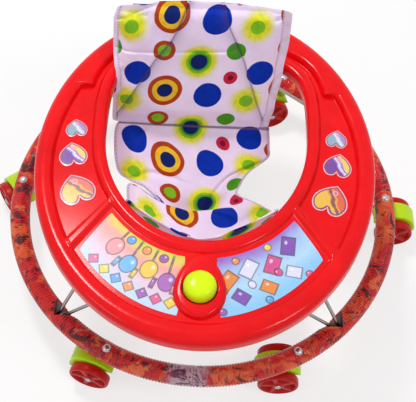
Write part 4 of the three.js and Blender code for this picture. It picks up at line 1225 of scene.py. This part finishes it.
def heart_plate(name, size):
    """A heart that points to the rear, with its own places stored for its print."""
    half = size / 2
    corners = [(0, 1), (1.1, 0.35), (1, -0.4), (0.85, -1), (0.45, -1), (0.1, -1), (0, -0.62)]
    steps = [(1.0, 0.0), (1.0, 0.45), (0.97, 0.6), (0.9, 0.62), (0.6, 0.62), (0.3, 0.62), (0.0, 0.62)]
    arc = []
    for k in range(0, 6, 2):
        first, bend, last = corners[k], corners[k + 1], corners[k + 2]
        for share in spread(0, 1, 10)[:-1]:
            arc.append(tuple((1 - share) ** 2 * a + 2 * share * (1 - share) * b + share**2 * c
                             for a, b, c in zip(first, bend, last)))
    arc.append(corners[-1])
    loop = arc + [(-x, y) for x, y in reversed(arc[1:-1])]
    centre = 0.05
    mesh = skin(name, [[Vector((x * half * share, (y - centre) * half * share, height)) * MM for x, y in loop]
                       for share, height in steps])
    lays = []
    for vertex in mesh.vertices:
        x, y = vertex.co.x / (half * MM), vertex.co.y / (half * MM)
        lays.append((x, y, min(math.hypot(x - px, y + centre - py) for px, py in loop)))
    store(mesh, "lay", "FLOAT_VECTOR", lays)
    return mesh


# Seat: padded back and hanging sling


# The pad leans rearward on a line through its foot; places on it are across, along and rearward
SEAT_SHIFT = -10.0
BACK_FOOT = (66.0, 199.0)
BACK_LENGTH = 187.0
BACK_LEAN = math.radians(20)
PAD_REAR = 10.9
PAD_FOOT = -6.0
# Where the pad's front and rear are sewn together along its edges
FRONT_SEAM, REAR_SEAM = 3.0, 4.5
# The hems thin toward this plane, and to this share of the pad's own depth
HEM_PLANE, HEM_THINNESS = 3.5, 0.22
# Only what lies ahead of this plane is creased
FRONT_LIMIT = 4.6
# Edges of the pad along its length, and how far its top stands past that length across it
PAD_LEFT = [(0, -130), (40, -128), (56, -121.5), (84, -121.5), (94, -124), (116, -125.5), (162, -124), (187, -118)]
PAD_RIGHT = [(0, 101), (31, 107), (89, 114), (144, 119), (187, 119.5)]
PAD_TOP = [(-118, -5), (-112, -4), (-92, -11), (-64, 3.5), (-20, 6), (43, 5), (80, 1), (114, -2), (118, -4)]
# Creases: corners of the line, the side that cloth is lapped on, and strength
PAD_CREASES = [
    ([(-18, 196), (-43, 137), (-66, 106), (-123, 8)], 1, 0.95),
    ([(26, 192), (35, 160), (46, 137), (57, 112), (92, 6)], -1, 0.85),
    ([(-120, 117), (-60, 119), (30, 124)], 1, 0.45),
    ([(-118, 160), (-92, 172), (-66, 184)], 1, 0.4),
    ([(66, 66), (84, 60), (106, 60)], 1, 0.3),
]


def back_place(x, along, rearward):
    """Turns a place on the back into millimetres from the ring's middle."""
    lean_sin, lean_cos = math.sin(BACK_LEAN), math.cos(BACK_LEAN)
    y = BACK_FOOT[0] + along * lean_sin + rearward * lean_cos
    z = BACK_FOOT[1] + along * lean_cos - rearward * lean_sin
    return SEAT_SHIFT + x, y, z


def back_reading(point):
    """A point's place on the back: across, along and rearward, in millimetres."""
    x = (point.x - MIDDLE.x) / MM - SEAT_SHIFT
    y = (point.y - MIDDLE.y) / MM - BACK_FOOT[0]
    z = point.z / MM - BACK_FOOT[1]
    lean_sin, lean_cos = math.sin(BACK_LEAN), math.cos(BACK_LEAN)
    return x, y * lean_sin + z * lean_cos, y * lean_cos - z * lean_sin


SKEW_ACROSS, SKEW_DOWN = 0.079, 0.044


def print_place(x, down):
    """Where a point of the cloth lies on the print, which was cut a little off square."""
    return x + SKEW_ACROSS * down, down + SKEW_DOWN * x


def crease_gap(x, y, line):
    """How far a point lies from a bent line, and on which side of it, as 1 or -1."""
    best, side = 1e9, 1.0
    for (ax, ay), (bx, by) in zip(line, line[1:]):
        dx, dy = bx - ax, by - ay
        share = min(1.0, max(0.0, ((x - ax) * dx + (y - ay) * dy) / (dx * dx + dy * dy)))
        gap = math.hypot(x - ax - share * dx, y - ay - share * dy)
        if gap < best:
            best = gap
            side = math.copysign(1.0, (x - ax) * dy - (y - ay) * dx)
    return best, side


GROOVE_DEPTH, GROOVE_WIDTH = 2.4, 2.2
# Width of the painted dark line along a crease, then strength and reach of the painted shadow beside it
LINE_WIDTH = 1.0
SHADOW, SHADOW_REACH = 0.58, 15.0


def crease_height(x, y, creases, lap, reach):
    """How deep the creases' grooves are less the laps beside them, and their painted shade: a dark line along each and
    a painted shadow on one side.
    """
    height = shade = 0.0
    for line, lapped, strength in creases:
        gap, side = crease_gap(x, y, line)
        height += GROOVE_DEPTH * strength * math.exp(-((gap / GROOVE_WIDTH) ** 2))
        if side * lapped > 0:
            height -= lap * strength * math.exp(-gap / reach) * smooth_step(0, 3, gap)
        shadow = SHADOW * math.exp(-gap / SHADOW_REACH) * (side * lapped < 0)
        shade = max(shade, strength * max(math.exp(-((gap / LINE_WIDTH) ** 2)), shadow))
    return height, shade


def cloth_swell(piece, frames, pressure, cap, voxel, hold):
    """Blows the piece up as cloth under a little pressure, then caps how far each point went."""
    context = bpy.context
    remesh = piece.modifiers.new("remesh", "REMESH")
    remesh.mode = "VOXEL"
    remesh.voxel_size = voxel
    base = evaluated(piece)
    piece.modifiers.clear()
    piece.data = base
    start = [vertex.co.copy() for vertex in base.vertices]
    group = piece.vertex_groups.new(name="held")
    for vertex in base.vertices:
        weight = hold(vertex.co)
        if weight > 0:
            group.add([vertex.index], weight, "REPLACE")
    cloth = piece.modifiers.new("cloth", "CLOTH")
    cloth.settings.quality = 5
    cloth.settings.mass = 0.3
    cloth.settings.tension_stiffness = 12
    cloth.settings.compression_stiffness = 10
    cloth.settings.shear_stiffness = 6
    cloth.settings.bending_stiffness = 0.6
    cloth.settings.use_pressure = True
    cloth.settings.uniform_pressure_force = pressure
    cloth.settings.vertex_group_mass = "held"
    cloth.settings.effector_weights.gravity = 0.0
    cloth.collision_settings.use_collision = False
    cloth.point_cache.frame_start = 1
    cloth.point_cache.frame_end = frames
    for step in range(1, frames + 1):
        context.scene.frame_set(step)
    swollen = evaluated(piece)
    piece.modifiers.clear()
    context.scene.frame_set(1)
    for vertex, origin in zip(swollen.vertices, start):
        move = vertex.co - origin
        if move.length > cap:
            vertex.co = origin + move * (cap / move.length)
    piece.vertex_groups.clear()
    piece.data = swollen


class WALKER_OT_seat_back(Operator):
    """The padded back of the seat, filled out as cloth, then creased and hemmed"""

    bl_idname = "walker.seat_back"
    bl_label = "Seat back pad"

    def execute(self, context):
        piece = linked("padded_back", self.pad_shape())
        swollen = self.swollen(piece, context.scene.walker_sizes.pad_swell)
        smooth = piece.modifiers.new("smooth", "SUBSURF")
        smooth.levels = smooth.render_levels = 2
        piece.data = evaluated(piece)
        piece.modifiers.clear()
        lays, shades = [], []
        for vertex in piece.data.vertices:
            x, along, rearward = back_reading(vertex.co)
            rim = self.rim_gap(x, along)
            if swollen and rearward < FRONT_SEAM:
                rearward = self.read_swell(swollen, x, along, rearward, rim)
            rearward = lerp(HEM_PLANE, rearward, lerp(HEM_THINNESS, 1.0, smooth_step(5.0, 17.0, rim)))
            shade = 0.0
            if rearward < FRONT_LIMIT:
                height, shade = crease_height(x, along, PAD_CREASES, 3.4, 16.0)
                rearward += height * smooth_step(-1, 8, rim)
                rearward += 0.7 * math.sin(x * 0.11 + along * 0.06) * math.sin(along * 0.08 - x * 0.03)
            rearward = min(rearward - self.left_curl(x, along), PAD_REAR)
            vertex.co = at(*back_place(x, along, rearward))
            across, down = print_place(x, BACK_LENGTH - along)
            lays.append((across * MM, down * MM, max(0.0, rim) * MM))
            foot_shadow = math.exp(-((max(0.0, along - PAD_FOOT + 2) / 3.5) ** 2))
            shades.append(max(shade, foot_shadow))
        tidied(piece.data, 180.0)
        store(piece.data, "lay", "FLOAT_VECTOR", lays)
        # Painted shade of the creases and of the pad's foot, for the cloth's finish
        store(piece.data, "crease", "FLOAT", shades)
        piece.data.materials.append(finish_for("seat_cloth"))
        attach(piece, "tray")
        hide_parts("seat_back")
        return {"FINISHED"}

    @staticmethod
    def pad_shape():
        """A cushion over the board, a little fuller where no cloth is simulated to fill it."""
        crown = 2.0
        rows = []
        for along_share in spread(0, 1, 48):
            front, rear = [], []
            for across in spread(-1, 1, 52):
                x, along = WALKER_OT_seat_back.outline_place(across, along_share)
                full = (1 - abs(across) ** 5) * (1 - abs(2 * along_share - 1) ** 6)
                front.append(at(*back_place(x, along, lerp(FRONT_SEAM, -crown, full))))
                rear.append(at(*back_place(x, along, lerp(REAR_SEAM, PAD_REAR, full))))
            rows.append(front + rear[::-1])
        return skin("padded_back", rows, caps=True)

    @staticmethod
    def left_curl(x, along):
        """How far the pad's left edge curls forward below its middle."""
        return 10.0 * smooth_step(-96, -122, x) * smooth_step(30, 56, along) * (1 - smooth_step(84, 120, along))

    @staticmethod
    def swollen(piece, cap):
        """The shape that a copy of the pad fills out to as cloth, ready to be read by rays."""
        blown = linked("filled_back", piece.data.copy())
        cloth_swell(blown, frames=20, pressure=4.0, cap=cap, voxel=0.0045, hold=WALKER_OT_seat_back.held)
        smooth = blown.modifiers.new("smooth", "SUBSURF")
        smooth.levels = 1
        shape = evaluated(blown)
        bpy.data.objects.remove(blown)
        return BVHTree.FromPolygons([vertex.co for vertex in shape.vertices],
                                    [tuple(face.vertices) for face in shape.polygons])

    @staticmethod
    def read_swell(swollen, x, along, rearward, rim):
        """Where the pad's front comes to at a place, with the hems left as they were sewn."""
        eye = at(*back_place(x, along, -50))
        ahead = (at(*back_place(x, along, 0)) - eye).normalized()
        hit = swollen.ray_cast(eye, ahead, 70 * MM)[0]
        if hit is None:
            return rearward
        top = BACK_LENGTH + reading(PAD_TOP, x)
        inner = smooth_step(3, 18, rim) * smooth_step(PAD_FOOT, 8, along) * (1 - smooth_step(top - 16, top - 3, along))
        return lerp(rearward, min(back_reading(hit)[2], rearward + 1), inner)

    @staticmethod
    def rim_gap(x, along):
        """The way to the nearer side of the pad, counted up to 60 mm."""
        return min(reading(PAD_RIGHT, along) - x, x - reading(PAD_LEFT, along), 60.0)

    @staticmethod
    def outline_place(across, share):
        """A place within the pad's outline, whose four corners are rounded."""
        along = lerp(PAD_FOOT, BACK_LENGTH, share)
        left, right = reading(PAD_LEFT, along), reading(PAD_RIGHT, along)
        x = lerp(left, right, 0.5 + across / 2)
        top = reading(PAD_TOP, x)
        along += top * smooth_step(0.72, 1.0, share)
        corner = 5.0
        to_end = min(along - PAD_FOOT, BACK_LENGTH + top - along)
        inset = corner - math.sqrt(corner**2 - (corner - min(corner, max(0.0, to_end))) ** 2)
        return x - math.copysign(inset, across) * abs(across) ** 3, along

    @staticmethod
    def held(point):
        """How firmly the cloth is held: all of it on the board, and some of it at the foot."""
        _, along, rearward = back_reading(point)
        if rearward > 8.5:
            return 1.0
        return 0.8 * (1 - smooth_step(0, 10, along))


# The sling from the back's foot to the tray's front wall: middle, left edge, right edge
SLING_STATIONS = [
    ((-10, 69.2, 192.0), (-130, 69.2, 192.4), (92, 69.2, 192.4)),
    ((-13, 63.0, 184.8), (-135, 63.6, 188.0), (93, 62.6, 186.0)),
    ((-18, 46.0, 174.5), (-136, 44.0, 184.0), (94, 47.0, 177.0)),
    ((-20, 24.0, 160.0), (-133, 16.0, 166.0), (93, 33.0, 166.0)),
    ((-20, 2.0, 146.0), (-123, -4.0, 157.0), (66, 15.0, 152.0)),
    ((-20, -20.0, 133.0), (-92, -15.0, 150.0), (54, -2.0, 143.0)),
    ((-20, -42.0, 116.0), (-68, -34.0, 139.0), (52, -17.0, 140.0)),
    ((-14, -50.0, 138.0), (-109, -19.0, 159.0), (78, -41.0, 155.0)),
    ((-8, -76.0, 140.0), (-111, -46.0, 158.0), (103, -62.0, 164.0)),
    ((-5, -110.0, 150.0), (-111, -74.0, 170.0), (103, -90.0, 196.0)),
    ((-3, -146.0, 196.0), (-106, -100.0, 224.0), (99, -112.0, 236.0)),
    ((-2, -165.0, 246.0), (-102, -112.0, 253.0), (97, -118.0, 254.0)),
    ((-2, -170.0, 267.0), (-101, -115.0, 266.0), (97, -120.0, 266.0)),
]
# Its creases are drawn on a sheet of this half width and length, whatever the sling's own are
CREASE_HALF_WIDTH, CREASE_LENGTH = 100, 150
SLING_CREASES = [
    ([(-95, 54), (-55, 45), (-20, 49.5)], 1, 0.8),
    ([(95, 40.5), (62, 49.5), (35, 67.5)], -1, 0.8),
    ([(-62, 12), (-78, 30), (-90, 45)], 1, 0.8),
    ([(30, 90), (55, 99), (90, 93)], 1, 0.8),
    ([(-70, 99), (-30, 93), (-5, 102)], -1, 0.8),
]


def through(points, spot):
    """A point on the smooth curve through the given points, the spot counted in points."""
    last = len(points) - 1
    k = min(int(spot), last - 1)
    part = spot - k
    first, second = points[k], points[k + 1]
    before = points[k - 1] if k else first + (first - second)
    after = points[k + 2] if k + 2 <= last else second + (second - first)
    return 0.5 * (2 * first + (second - before) * part + (2 * before - 5 * first + 4 * second - after) * part**2
                  + (3 * first - before - 3 * second + after) * part**3)


# How far the print drifts sideways for each step down the sling, and its hems' turned parts
PRINT_DRIFT = 0.29
LEFT_TURNED, RIGHT_TURNED = 4, 9
SLING_STEPS = 64
SLING_CENTRE = SLING_STEPS // 2
STATION_STEPS = 15
# How far a point halfway to an edge has gone toward it: across, along and up
HALFWAY = (0.52, 0.38, 0.18)
# Above this height the sling's front end is held against the wall of the hole
WALL_FOOT = 249


def sling_grid():
    """Rows of points across the sling, smooth through five guide lines down its length."""
    guides = [[], [], [], [], []]
    for station in SLING_STATIONS:
        middle, left, right = (Vector(point) for point in station)
        halves = [Vector(lerp(middle[axis], edge[axis], HALFWAY[axis]) for axis in range(3)) for edge in (left, right)]
        for guide, point in zip(guides, (left, halves[0], middle, halves[1], right)):
            guide.append(point)
    last = len(SLING_STATIONS) - 1
    grid = []
    for spot in spread(0, last, STATION_STEPS * last):
        row = [through(guide, spot) for guide in guides]
        grid.append([through(row, place) for place in spread(0, 4, SLING_STEPS)])
    return grid


def inside_wall(point):
    """Keeps a point of the sling's front end just within the wall of the hole."""
    if point.z > WALL_FOOT:
        across = min(1.0, abs(point.x) / HOLE_HALF_WIDTH)
        wall = HOLE_MIDDLE_Y - HOLE_FRONT * math.sqrt(1 - across**2)
        point.y = max(point.y, wall + 1.2)
    return point


class WALKER_OT_seat_sling(Operator):
    """The sling that carries the child, from the back's foot to the tray's front wall"""

    bl_idname = "walker.seat_sling"
    bl_label = "Seat sling"

    def execute(self, context):
        grid = sling_grid()
        lays, folds, rims, run, width = [], [], [], 0.0, 0.0
        for i, row in enumerate(grid):
            if i:
                run += (row[SLING_CENTRE] - grid[i - 1][SLING_CENTRE]).length
            reach = [0.0]
            for first, second in zip(row, row[1:]):
                reach.append(reach[-1] + (second - first).length)
            width = max(width, reach[-1])
            rims.append([min(way, reach[-1] - way) for way in reach])
            start = row[SLING_CENTRE].x - SEAT_SHIFT - reach[SLING_CENTRE]
            lays.append([self.lay(k, start + way, run, rim) for k, (way, rim) in enumerate(zip(reach, rims[-1]))])
            folds.append([self.fold(k, i / len(grid), run) for k in range(len(row))])
        rows = []
        for i, row in enumerate(grid):
            near, far = grid[max(0, i - 1)], grid[min(len(grid) - 1, i + 1)]
            down = i / len(grid)
            free = smooth_step(0.02, 0.12, down) * (1 - smooth_step(0.80, 0.88, down))
            upper, lower = [], []
            for k, point in enumerate(row):
                across = row[min(SLING_STEPS, k + 1)] - row[max(0, k - 1)]
                normal = (far[k] - near[k]).cross(across).normalized()
                crumple = math.sin(i * 0.16 + k * 0.21) * math.sin(k * 0.33 - i * 0.07) - folds[i][k][0]
                middle = point + normal * crumple * free
                thick = self.half_thickness(rims[i][k])
                upper.append(at(*inside_wall(middle + normal * thick)))
                lower.append(at(*inside_wall(middle - normal * thick)))
            rows.append(upper + lower[::-1])
        mesh = skin("hung_sling", rows, caps=True)
        tidied(mesh, 180.0)
        store(mesh, "lay", "FLOAT_VECTOR", [place for row in lays for place in row + row[::-1]])
        # Painted shade of the creases and of the sling's first edge, for the cloth's finish
        store(mesh, "crease", "FLOAT", [shade for row in folds for _, shade in row + row[::-1]])
        piece = add_piece("hung_sling", mesh, "seat_cloth", "tray", ("seat_sling",))
        area = sum((after[k] - row[k]).cross(row[k + 1] - row[k]).length
                   for row, after in zip(grid, grid[1:]) for k in range(SLING_STEPS))
        return {"FINISHED"}

    @staticmethod
    def lay(k, x, run, rim):
        """Where a point lies on the print, drawn askew below the pad, and its way to the hem."""
        below = smooth_step(0, 60, run)
        across, down = print_place(x - PRINT_DRIFT * run * below, BACK_LENGTH + 4 + run - 3 * below)
        turned_under = LEFT_TURNED if k < SLING_CENTRE else RIGHT_TURNED
        return across * MM, down * MM, (rim + turned_under) * MM

    @staticmethod
    def fold(k, share, run):
        """How far the cloth dips at a place, and the painted shade of its creases and along its first edge, where it
        meets the pad.
        """
        x, y = CREASE_HALF_WIDTH * (2 * k / SLING_STEPS - 1), CREASE_LENGTH * share
        height, shade = crease_height(x, y, SLING_CREASES, 3.0, 12.0)
        # Painted shade along the first edge, where the sling meets the pad
        edge = math.exp(-((max(0.0, run - 3.4) / 1.6) ** 2))
        return height, max(0.16 * shade, 0.9 * edge)

    @staticmethod
    def half_thickness(rim):
        """Half of the cloth's thickness, thicker over the hem and rounded at the edge."""
        thick = 1.2 + 0.9 * math.exp(-((max(0.0, rim - 5) / 4.5) ** 2))
        if rim < 2.2:
            thick *= math.sqrt(max(0.06, 1 - (1 - rim / 2.2) ** 2))
        return thick


# The nodes that keep their own shapes get their finishes


class WALKER_OT_kept_nodes(Operator):
    """Finishes for the tube, clips, spring, case and board, whose own shapes are right"""

    bl_idname = "walker.kept_nodes"
    bl_label = "Kept pieces"

    def execute(self, context):
        rows = ("front", "rear")
        kept = {f"{row}_clip_{side}": "clip_dark" for row in rows for side in ("left", "middle", "right")}
        kept |= {"base_tube": "tube_painted_shade", "button_spring": "spring_steel", "squeaker_case": "case_dark",
                 "back_board": "board_grey"}
        for name, finish in kept.items():
            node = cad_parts[name]
            node.data.materials.clear()
            node.data.materials.append(finish_for(finish))
            for slot in node.material_slots:
                slot.material = finish_for(finish)
        return {"FINISHED"}


# Stage: floor, lamps, world and camera


# Each lamp's place in metres, width and watts
LAMPS = {
    "key": ((-0.6, 0.8, 2.3), 0.45, 27.0),
    "fill": ((1.3, -0.9, 2.0), 0.6, 11.0),
    "low": ((-1.6, -1.2, 1.2), 0.8, 4.0),
}
SURROUND_LIGHT = 0.52
# The camera's way ahead of and above the ring's middle, and its tilt in degrees
EYE_AHEAD, EYE_ABOVE, EYE_TILT = 745.8, 1170.6, 2.5
# The floor and the surround are white to these rays and dimmer as light
SIGHT_RAYS = ("Is Camera Ray", "Is Glossy Ray", "Is Transmission Ray")


class WALKER_OT_stage(Operator):
    """A pale floor, soft studio light, a white surround and the camera"""

    bl_idname = "walker.stage"
    bl_label = "Floor, light and camera"

    def execute(self, context):
        scene = context.scene
        scene.view_settings.view_transform = "Standard"
        self.floor()
        self.surround(scene)
        for name, (place, size, watts) in LAMPS.items():
            self.lamp(name, place, size, watts)
        self.camera(scene)
        return {"FINISHED"}

    @staticmethod
    def floor():
        turns = spread(0, 2 * math.pi * 63 / 64, 63)
        mesh = skin("floor", [[Vector((MIDDLE.x + radius * math.cos(turn), MIDDLE.y + radius * math.sin(turn), -0.0004))
                               for turn in turns] for radius in (0.0, 0.4, 0.8, 1.6, 3.0, 5.0)])
        floor = linked("floor", mesh)
        finish = Finish("floor_white")
        grain = finish.noise(finish.place(), 60.0, 2.0, 0.5)
        direct, mirrored, clear = (finish.node("ShaderNodeLightPath", output=ray) for ray in SIGHT_RAYS)
        seen = direct.at_least(mirrored).at_least(clear)
        paper = finish.mix(grain * 0.02, (0.93, 0.93, 0.93), (0.85, 0.85, 0.85))
        dull = {"Base Color": paper, "Roughness": 1.0, "Specular IOR Level": 0.0}
        diffuse = finish.node("ShaderNodeBsdfPrincipled", None, dull)
        glow = finish.node("ShaderNodeEmission", None, {0: (1.0, 1.0, 1.0), 1: 1.0})
        blended = finish.node("ShaderNodeMixShader", None, {0: seen * 0.68, 1: diffuse, 2: glow})
        finish.tree.links.new(blended.socket, finish.out.inputs[0])
        mesh.materials.append(finish.material)

    @staticmethod
    def surround(scene):
        world = bpy.data.worlds.new("studio")
        world.use_nodes = True
        scene.world = world
        tree = world.node_tree
        tree.nodes.clear()
        path = tree.nodes.new("ShaderNodeLightPath")
        seen = path.outputs[SIGHT_RAYS[0]]
        for ray in SIGHT_RAYS[1:]:
            either = tree.nodes.new("ShaderNodeMath")
            either.operation = "MAXIMUM"
            tree.links.new(seen, either.inputs[0])
            tree.links.new(path.outputs[ray], either.inputs[1])
            seen = either.outputs[0]
        blend = tree.nodes.new("ShaderNodeMixShader")
        tree.links.new(seen, blend.inputs[0])
        for socket, strength in ((1, SURROUND_LIGHT), (2, 1.0)):
            white = tree.nodes.new("ShaderNodeBackground")
            white.inputs[0].default_value = (1.0, 1.0, 1.0, 1.0)
            white.inputs[1].default_value = strength
            tree.links.new(white.outputs[0], blend.inputs[socket])
        out = tree.nodes.new("ShaderNodeOutputWorld")
        tree.links.new(blend.outputs[0], out.inputs[0])

    @staticmethod
    def lamp(name, place, size, watts):
        light = bpy.data.lights.new(name, "AREA")
        light.shape = "DISK"
        light.size = size
        light.energy = watts
        holder = linked(name, light)
        holder.location = place
        aim = at(0, 0, 150) - holder.location
        holder.rotation_euler = aim.to_track_quat("-Z", "Y").to_euler()

    @staticmethod
    def camera(scene):
        """The view from high in front, where the real one is seen from."""
        lens = bpy.data.cameras.new("front_high")
        lens.sensor_width = 36.0
        lens.lens = 77.88
        lens.shift_x = 0.0108
        lens.shift_y = 0.0087
        lens.clip_start = 0.05
        lens.clip_end = 30.0
        holder = linked("front_high", lens)
        place = at(0, -EYE_AHEAD, RING_HEIGHT + EYE_ABOVE)
        aim = (at(0, 0, RING_HEIGHT) - place).to_track_quat("-Z", "Y")
        holder.rotation_mode = "QUATERNION"
        holder.location = place
        holder.rotation_quaternion = aim @ Quaternion((0, 0, 1), math.radians(EYE_TILT))
        scene.camera = holder


# Sidebar


STEPS = (
    WALKER_OT_stage,
    WALKER_OT_sleeves,
    WALKER_OT_rivets,
    WALKER_OT_wheels,
    WALKER_OT_hoods,
    WALKER_OT_legs,
    WALKER_OT_tray,
    WALKER_OT_button,
    WALKER_OT_sheets,
    WALKER_OT_seat_back,
    WALKER_OT_seat_sling,
    WALKER_OT_kept_nodes,
)


class WALKER_PT_sidebar(Panel):
    """Lists the walker's sizes, colours and building steps"""

    bl_idname = "WALKER_PT_sidebar"
    bl_label = "Baby Activity Walker"
    bl_space_type = "VIEW_3D"
    bl_region_type = "UI"
    bl_category = "Walker"

    def draw(self, context):
        layout = self.layout
        for group in (context.scene.walker_sizes, context.scene.walker_colours):
            column = layout.column()
            for name in group.bl_rna.properties.keys():
                if name not in {"rna_type", "name"}:
                    column.prop(group, name)
        column = layout.column()
        for step in STEPS:
            column.operator(step.bl_idname)


CLASSES = (WalkerSizes, WalkerColours, *STEPS, WALKER_PT_sidebar)


def register():
    for kind in CLASSES:
        bpy.utils.register_class(kind)
    bpy.types.Scene.walker_sizes = PointerProperty(type=WalkerSizes)
    bpy.types.Scene.walker_colours = PointerProperty(type=WalkerColours)


def unregister():
    del bpy.types.Scene.walker_colours
    del bpy.types.Scene.walker_sizes
    for kind in reversed(CLASSES):
        bpy.utils.unregister_class(kind)


def main():
    register()
    bpy.ops.walker.stage()
    bpy.ops.walker.sleeves()
    bpy.ops.walker.rivets()
    bpy.ops.walker.wheels()
    bpy.ops.walker.hoods()
    bpy.ops.walker.legs()
    bpy.ops.walker.tray()
    bpy.ops.walker.button()
    bpy.ops.walker.sheets()
    bpy.ops.walker.seat_back()
    bpy.ops.walker.seat_sling()
    bpy.ops.walker.kept_nodes()


if __name__ == "__main__":
    main()
